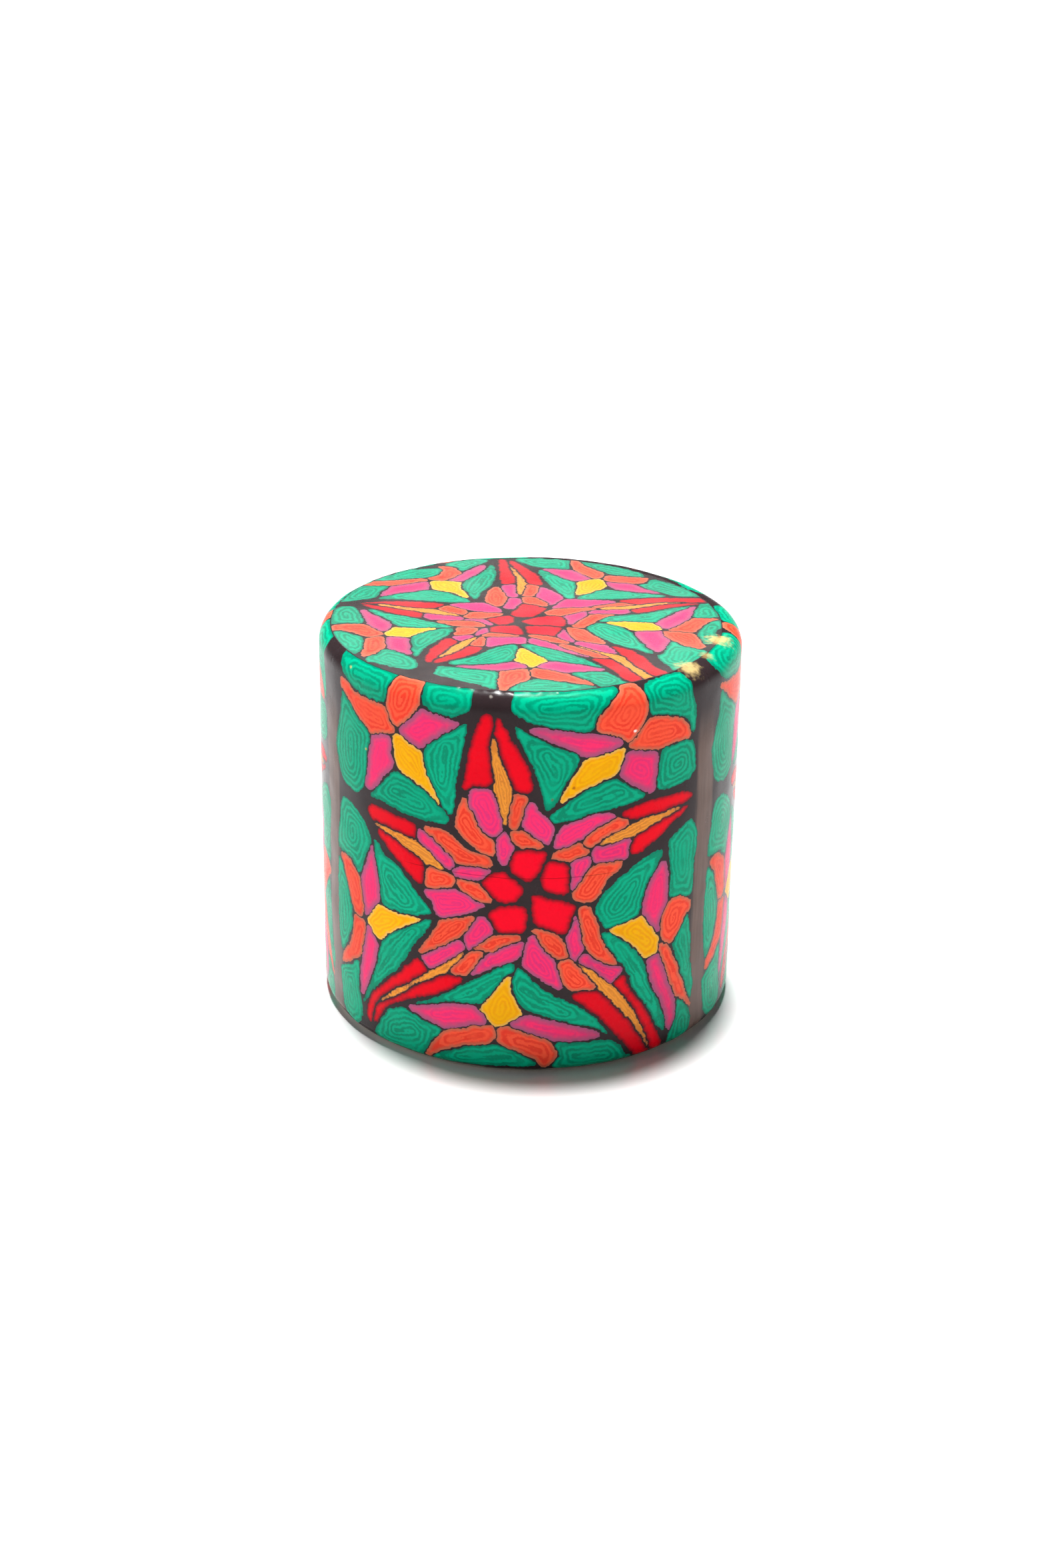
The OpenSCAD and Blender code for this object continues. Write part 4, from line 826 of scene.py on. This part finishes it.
def ringed_wax(name, colours, body, line, rim, contrast, rim_width, painted_reflection=0.0):
    """Wax of a cell that was rolled up from a thin sheet, so that its cut face shows a spiral."""
    sheet = Sheet(name)
    turn, ring, _ = sheet.pattern()
    edge, tone = sheet.attribute("edge"), sheet.attribute("tone")
    wobble = sheet.grain(2.4 * MM, 2.0) - 0.5
    ragged = sheet.grain(0.45 * MM, 2.0) - 0.5
    phase = (ring + turn + 1.3 * wobble + 0.5 * ragged) * (2 * math.pi)
    swing = sheet.node("ShaderNodeMath", {"operation": "COSINE"}, {0: phase})
    fade = sheet.grain(4 * MM, 1.0).raised(0.3, 0.6)
    lines = swing.raised(-0.9, 0.9) * contrast * (0.5 + 0.5 * fade)
    base = sheet.mix(lines, body, line)
    skin = (edge + 0.3 * ragged + 0.2 * wobble).raised(rim_width, 0.0)
    base = sheet.mix(skin, base, rim)
    seam = (edge + 0.1 * ragged).raised(0.06, 0.0)
    base = sheet.mix(seam * 0.7, base, tuple(colours.web))
    mottle = 0.90 + 0.12 * sheet.grain(0.5 * MM, 2.0) + 0.10 * sheet.grain(4 * MM, 2.0) + 0.06 * (tone - 0.5)
    base = painted_top_shade_and_reflection(sheet, sheet.tint(base, mottle), colours, painted_reflection)
    return wax_surface(sheet, base, shine=TOP_SHINE if painted_reflection else SIDE_SHINE)


def glowing_wax(name, colours, body, rim, reach, painted_reflection=0.0):
    """Wax of a plain cell that is bright in the middle and darkens towards its edges."""
    sheet = Sheet(name)
    edge, tone = sheet.attribute("edge"), sheet.attribute("tone")
    cloud = sheet.grain(1.2 * MM, 3.0) - 0.5
    ragged = sheet.grain(0.4 * MM, 2.0) - 0.5
    depth = (edge + 0.5 * cloud + 0.15 * ragged).raised(reach, 0.0)
    base = sheet.mix(depth * depth, body, rim)
    seam = (edge + 0.15 * ragged).raised(0.2, 0.0)
    base = sheet.mix(seam * 0.8, base, tuple(colours.web))
    mottle = 0.92 + 0.12 * sheet.grain(0.5 * MM, 2.0) + 0.04 * tone
    base = painted_top_shade_and_reflection(sheet, sheet.tint(base, mottle), colours, painted_reflection)
    return wax_surface(sheet, base, shine=TOP_SHINE if painted_reflection else SIDE_SHINE)


def web_wax(name, colours, form, painted_reflection=0.0):
    """Dark wax of the web, browner and streaked along the joints of the side slices."""
    sheet = Sheet(name)
    across, upright, place = sheet.pattern()
    smoke = sheet.grain(3.5 * MM, 3.0)
    speck = sheet.grain(0.35 * MM, 2.0)
    base = sheet.tint(tuple(colours.web), 0.75 + 0.5 * smoke + 0.25 * speck)
    if not painted_reflection:
        half = form.slice_width / 2 / (100 * MM)
        width = 3.2 / 100
        stretched = sheet.node("ShaderNodeMapping", {}, {"Vector": place, "Scale": (100.0, 9.0, 1.0)})
        streak = sheet.grain(1.0, 3.0, place=stretched)
        offset = sheet.node("ShaderNodeMath", {"operation": "ABSOLUTE"}, {0: across})
        near = (offset + 0.012 * (streak - 0.5)).raised(half - width, half - width * 0.55)
        brown = sheet.tint(tuple(colours.border), 0.55 + 0.8 * streak)
        base = sheet.mix(near * upright.raised(0.66, 0.56), base, brown)
    base = painted_top_shade_and_reflection(sheet, base, colours, painted_reflection)
    return wax_surface(sheet, base, dull=0.12, shine=TOP_SHINE if painted_reflection else WEB_SHINE)


def slice_materials(colours, form, prefix, painted_reflection):
    """The materials of a slice, by group."""
    pick = lambda name: tuple(getattr(colours, name))
    def ringed(group, wax, contrast, rim_width):
        return ringed_wax(f"{prefix}_{group}", colours, pick(wax), pick(wax + "_line"), pick(wax + "_rim"),
                          contrast, rim_width, painted_reflection)
    def glowing(group, wax, reach):
        return glowing_wax(f"{prefix}_{group}", colours, pick(wax), pick(wax + "_rim"), reach, painted_reflection)
    return {
        "web": web_wax(f"{prefix}_web", colours, form, painted_reflection),
        "green": ringed("green", "green", 1.1, 0.5),
        "lily_yellow": ringed("lily_yellow", "yellow", 0.9, 0.6),
        "lily_pink": ringed("lily_pink", "pink", 0.7, 1.6),
        "lily_orange": ringed("lily_orange", "orange", 1.1, 0.9),
        "arm_red": glowing("arm_red", "red", 1.2),
        "stamen": ringed("stamen", "peach", 0.8, 0.25),
        "arm_pink": ringed("arm_pink", "pink", 1.0, 0.9),
        "arm_orange": ringed("arm_orange", "orange", 1.2, 0.8),
        "heart_red": glowing("heart_red", "heart", 1.4),
    }


# ---------------------------------------------------------------- operators


def current():
    scene = bpy.context.scene
    return scene.candle_sizes, scene.candle_colours, scene.candle_stage


class CANDLE_OT_side_slices(bpy.types.Operator):
    """Make the three side slices, each as a web and its coloured cells"""

    bl_idname = "candle.side_slices"
    bl_label = "Side slices"

    def execute(self, context):
        sizes, colours, _ = current()
        form = Form(sizes)
        materials = slice_materials(colours, form, "side", 0.0)
        for number, name in enumerate(SIDE_SLICES):
            turn = sizes.front_turn + (0, 1, -1)[number] * 2 * math.pi / 3
            gap = sizes.edge_gap

            def keep_in(cell):
                across = np.clip(cell[:, 0], gap - form.slice_width / 2, form.slice_width / 2 - gap)
                seam, low = form.seam_height(across, turn), form.lowest()
                height = seam - pulled(seam - cell[:, 1], sizes.seam_pull, sizes)
                return np.stack([across, low + pulled(height - low, sizes.base_pull, sizes)], axis=1)

            piece = Slice(name, form, side_border(form, turn), SidePlace(form, turn), keep_in, 0.01 * number)
            pattern = cell_pattern(piece)
            for group, faces in piece.pieces():
                slice_piece(piece, group, faces, pattern, materials[group])
        return {"FINISHED"}


class CANDLE_OT_top_slice(bpy.types.Operator):
    """Make the top slice, as a web and its coloured cells"""

    bl_idname = "candle.top_slice"
    bl_label = "Top slice"

    def execute(self, context):
        sizes, colours, _ = current()
        form = Form(sizes)
        # The top waxes get a painted reflection of strength 0.08 and the painted shade darkening that goes with
        # it.
        materials = slice_materials(colours, form, "top", 0.08)
        middle = np.array(form.seam_middle)

        def keep_in(cell):
            lean = cell - middle
            reach = np.hypot(*lean.T)
            kept = form.seam_radius - pulled(form.seam_radius - reach, sizes.rim_pull, sizes)
            return middle + lean * (kept / reach)[:, None]

        piece = Slice("top", form, top_border(form), TopPlace(form), keep_in, 0.05)
        pattern = cell_pattern(piece)
        for group, faces in piece.pieces():
            slice_piece(piece, group, faces, pattern, materials[group])
        return {"FINISHED"}


class CANDLE_OT_core(bpy.types.Operator):
    """Make the wax core by spinning its half section round the axis"""

    bl_idname = "candle.core"
    bl_label = "Core"

    def execute(self, context):
        sizes, colours, _ = current()
        form = Form(sizes)
        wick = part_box("wick")[1][0]
        t = sizes.slice_t
        rim = math.acos(1 - t / form.base_round)
        section = [(wick, 0.0), (form.radius - form.base_round, 0.0)]
        for bend in np.linspace(math.pi / 2, rim, 6)[1:]:
            section.append((form.radius - form.base_round * (1 - math.cos(bend)),
                            form.base_round * (1 - math.sin(bend))))
        for bend in np.linspace(rim, 0, 5):
            section.append((form.radius - form.base_round + (form.base_round - t) * math.cos(bend),
                            form.base_round - (form.base_round - t) * math.sin(bend)))
        for bend in np.linspace(0, math.pi / 2, 7):
            section.append((form.radius - form.top_round + (form.top_round - t) * math.cos(bend),
                            form.height - form.top_round + (form.top_round - t) * math.sin(bend)))
        section.append((wick, form.height - t))
        points = [(reach, 0.0, level) for reach, level in section]
        mesh = bpy.data.meshes.new("core_wax_body")
        count = len(points)
        mesh.from_pydata(points, [(k, (k + 1) % count) for k in range(count)], [])
        obj = bpy.data.objects.new("core_wax_body", mesh)
        bpy.context.scene.collection.objects.link(obj)
        only(obj)
        bpy.ops.object.mode_set(mode="EDIT")
        bpy.ops.mesh.select_all(action="SELECT")
        bpy.ops.mesh.spin(steps=144, angle=2 * math.pi, center=(0, 0, 0), axis=(0, 0, 1))
        bpy.ops.mesh.select_all(action="SELECT")
        bpy.ops.mesh.remove_doubles(threshold=0.001 * MM)
        bpy.ops.mesh.normals_make_consistent(inside=False)
        bpy.ops.object.mode_set(mode="OBJECT")
        bpy.ops.object.shade_smooth_by_angle(angle=math.radians(35))
        sheet = Sheet("core_wax")
        cloud = sheet.grain(7 * MM, 4.0)
        base = sheet.tint(tuple(colours.core), 0.85 + 0.25 * cloud)
        finish_piece(obj, "core_wax", wax_surface(sheet, base, dull=0.35))
        return {"FINISHED"}


class CANDLE_OT_wick(bpy.types.Operator):
    """Make the braided wick"""

    bl_idname = "candle.wick"
    bl_label = "Wick"

    def execute(self, context):
        _, colours, _ = current()
        low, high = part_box("wick")
        length = high[2] - low[2]
        bpy.ops.object.select_all(action="DESELECT")
        bpy.ops.mesh.primitive_cylinder_add(
            vertices=36, radius=high[0], depth=length, location=(0, 0, length / 2), end_fill_type="TRIFAN")
        obj = bpy.context.active_object
        obj.name = "wick_braid"
        bpy.ops.object.transform_apply(location=True, rotation=True, scale=True)
        only(obj)
        bpy.ops.object.mode_set(mode="EDIT")
        bpy.ops.mesh.select_all(action="DESELECT")
        bpy.ops.object.mode_set(mode="OBJECT")
        for edge in obj.data.edges:
            ends = [obj.data.vertices[k].co for k in edge.vertices]
            edge.select = abs(ends[0].z - ends[1].z) > length / 2
        bpy.ops.object.mode_set(mode="EDIT")
        bpy.ops.mesh.select_mode(type="EDGE")
        bpy.ops.mesh.subdivide_edgering(number_cuts=150, smoothness=0)
        bpy.ops.object.mode_set(mode="OBJECT")
        for vertex in obj.data.vertices:
            reach = math.hypot(vertex.co.x, vertex.co.y)
            if reach < high[0] * 0.5:
                continue
            bearing = math.atan2(vertex.co.y, vertex.co.x)
            lay = vertex.co.z / (5 * MM) * 2 * math.pi
            strands = math.sin(3 * bearing + lay) * math.sin(3 * bearing - lay)
            vertex.co.xy *= 1 - 0.06 * (0.5 - 0.5 * strands)
        bpy.ops.object.shade_smooth_by_angle(angle=math.radians(50))
        sheet = Sheet("wick_cotton")
        x, y, z = sheet.axes()
        fibre = sheet.grain(0.25 * MM, 3.0)
        base = sheet.tint(tuple(colours.cotton), 0.7 + 0.4 * fibre)
        material = sheet.finish(Base_Color=base, Roughness=0.75 + 0.2 * fibre,
                                Normal=sheet.bump(fibre, 0.4, 0.1 * MM))
        finish_piece(obj, "wick", material)
        return {"FINISHED"}


class CANDLE_OT_stage(bpy.types.Operator):
    """Set the floor, the lights and the camera"""

    bl_idname = "candle.stage"
    bl_label = "Stage"

    def execute(self, context):
        _, _, stage = current()
        self.floor(stage)
        self.lights()
        self.camera(stage)
        return {"FINISHED"}

    def floor(self, stage):
        bpy.ops.object.select_all(action="DESELECT")
        bpy.ops.mesh.primitive_circle_add(vertices=96, radius=6.0, fill_type="TRIFAN")
        floor = bpy.context.active_object
        floor.name = "floor"
        sheet = Sheet("floor")
        patch = sheet.grain(0.4, 2.0)
        sheet.shader.inputs["IOR"].default_value = 1.6
        floor.data.materials.append(
            sheet.finish(Base_Color=tuple(stage.floor), Roughness=0.10 + 0.05 * patch))

    def lights(self):
        scene = bpy.context.scene
        world = bpy.data.worlds.new("studio")
        world.use_nodes = True
        world.node_tree.nodes["Background"].inputs["Color"].default_value = (1.0, 1.0, 1.0, 1.0)
        world.node_tree.nodes["Background"].inputs["Strength"].default_value = 0.13
        scene.world = world
        self.softbox("overhead", (-0.03, 0.12, 1.0), 7.4, 10)
        self.softbox("left", (-1.0, -0.1, 0.5), 0.45, 60)

    def softbox(self, name, place, power, spread):
        data = bpy.data.lights.new(name, "SUN")
        data.energy = power
        data.angle = math.radians(spread)
        light = bpy.data.objects.new(name, data)
        light.location = place
        light.rotation_euler = (-Vector(place)).to_track_quat("-Z", "Y").to_euler()
        bpy.context.scene.collection.objects.link(light)

    def camera(self, stage):
        data = bpy.data.cameras.new("camera")
        data.lens = stage.lens
        data.sensor_width = 36.0
        data.sensor_fit = "AUTO"
        data.clip_start = 0.01
        camera = bpy.data.objects.new("camera", data)
        place = Vector((0, -math.cos(stage.elevation), math.sin(stage.elevation))) * stage.distance
        ahead = -place.normalized()
        right = Vector((1, 0, 0))
        up = right.cross(ahead)
        turn = Matrix.Rotation(stage.yaw, 3, up)
        ahead, right = turn @ ahead, turn @ right
        turn = Matrix.Rotation(stage.pitch, 3, right)
        ahead, up = turn @ ahead, turn @ up
        turn = Matrix.Rotation(stage.roll, 3, ahead)
        right, up = turn @ right, turn @ up
        camera.matrix_world = Matrix.Translation(place) @ Matrix((right, up, -ahead)).transposed().to_4x4()
        scene = bpy.context.scene
        scene.collection.objects.link(camera)
        scene.camera = camera
        scene.view_settings.view_transform = "Standard"


class CANDLE_PT_panel(bpy.types.Panel):
    """Sizes, colours and steps of the candle"""

    bl_idname = "CANDLE_PT_panel"
    bl_label = "Candle"
    bl_space_type = "VIEW_3D"
    bl_region_type = "UI"
    bl_category = "Candle"

    def draw(self, context):
        for group in current():
            for name in type(group).__annotations__:
                self.layout.prop(group, name)
        for operator in OPERATORS:
            self.layout.operator(operator.bl_idname)


GROUP_CLASSES = (CandleSizes, WaxColours, StageSettings)
OPERATORS = (
    CANDLE_OT_stage, CANDLE_OT_core, CANDLE_OT_wick, CANDLE_OT_side_slices, CANDLE_OT_top_slice,
)


def register():
    for item in (*GROUP_CLASSES, *OPERATORS, CANDLE_PT_panel):
        bpy.utils.register_class(item)
    bpy.types.Scene.candle_sizes = PointerProperty(type=CandleSizes)
    bpy.types.Scene.candle_colours = PointerProperty(type=WaxColours)
    bpy.types.Scene.candle_stage = PointerProperty(type=StageSettings)


def unregister():
    del bpy.types.Scene.candle_stage
    del bpy.types.Scene.candle_colours
    del bpy.types.Scene.candle_sizes
    for item in reversed((*GROUP_CLASSES, *OPERATORS, CANDLE_PT_panel)):
        bpy.utils.unregister_class(item)


def main():
    register()
    for operator in OPERATORS:
        group, name = operator.bl_idname.split(".")
        getattr(getattr(bpy.ops, group), name)()
    bpy.context.view_layer.update()


if __name__ == "__main__":
    main()
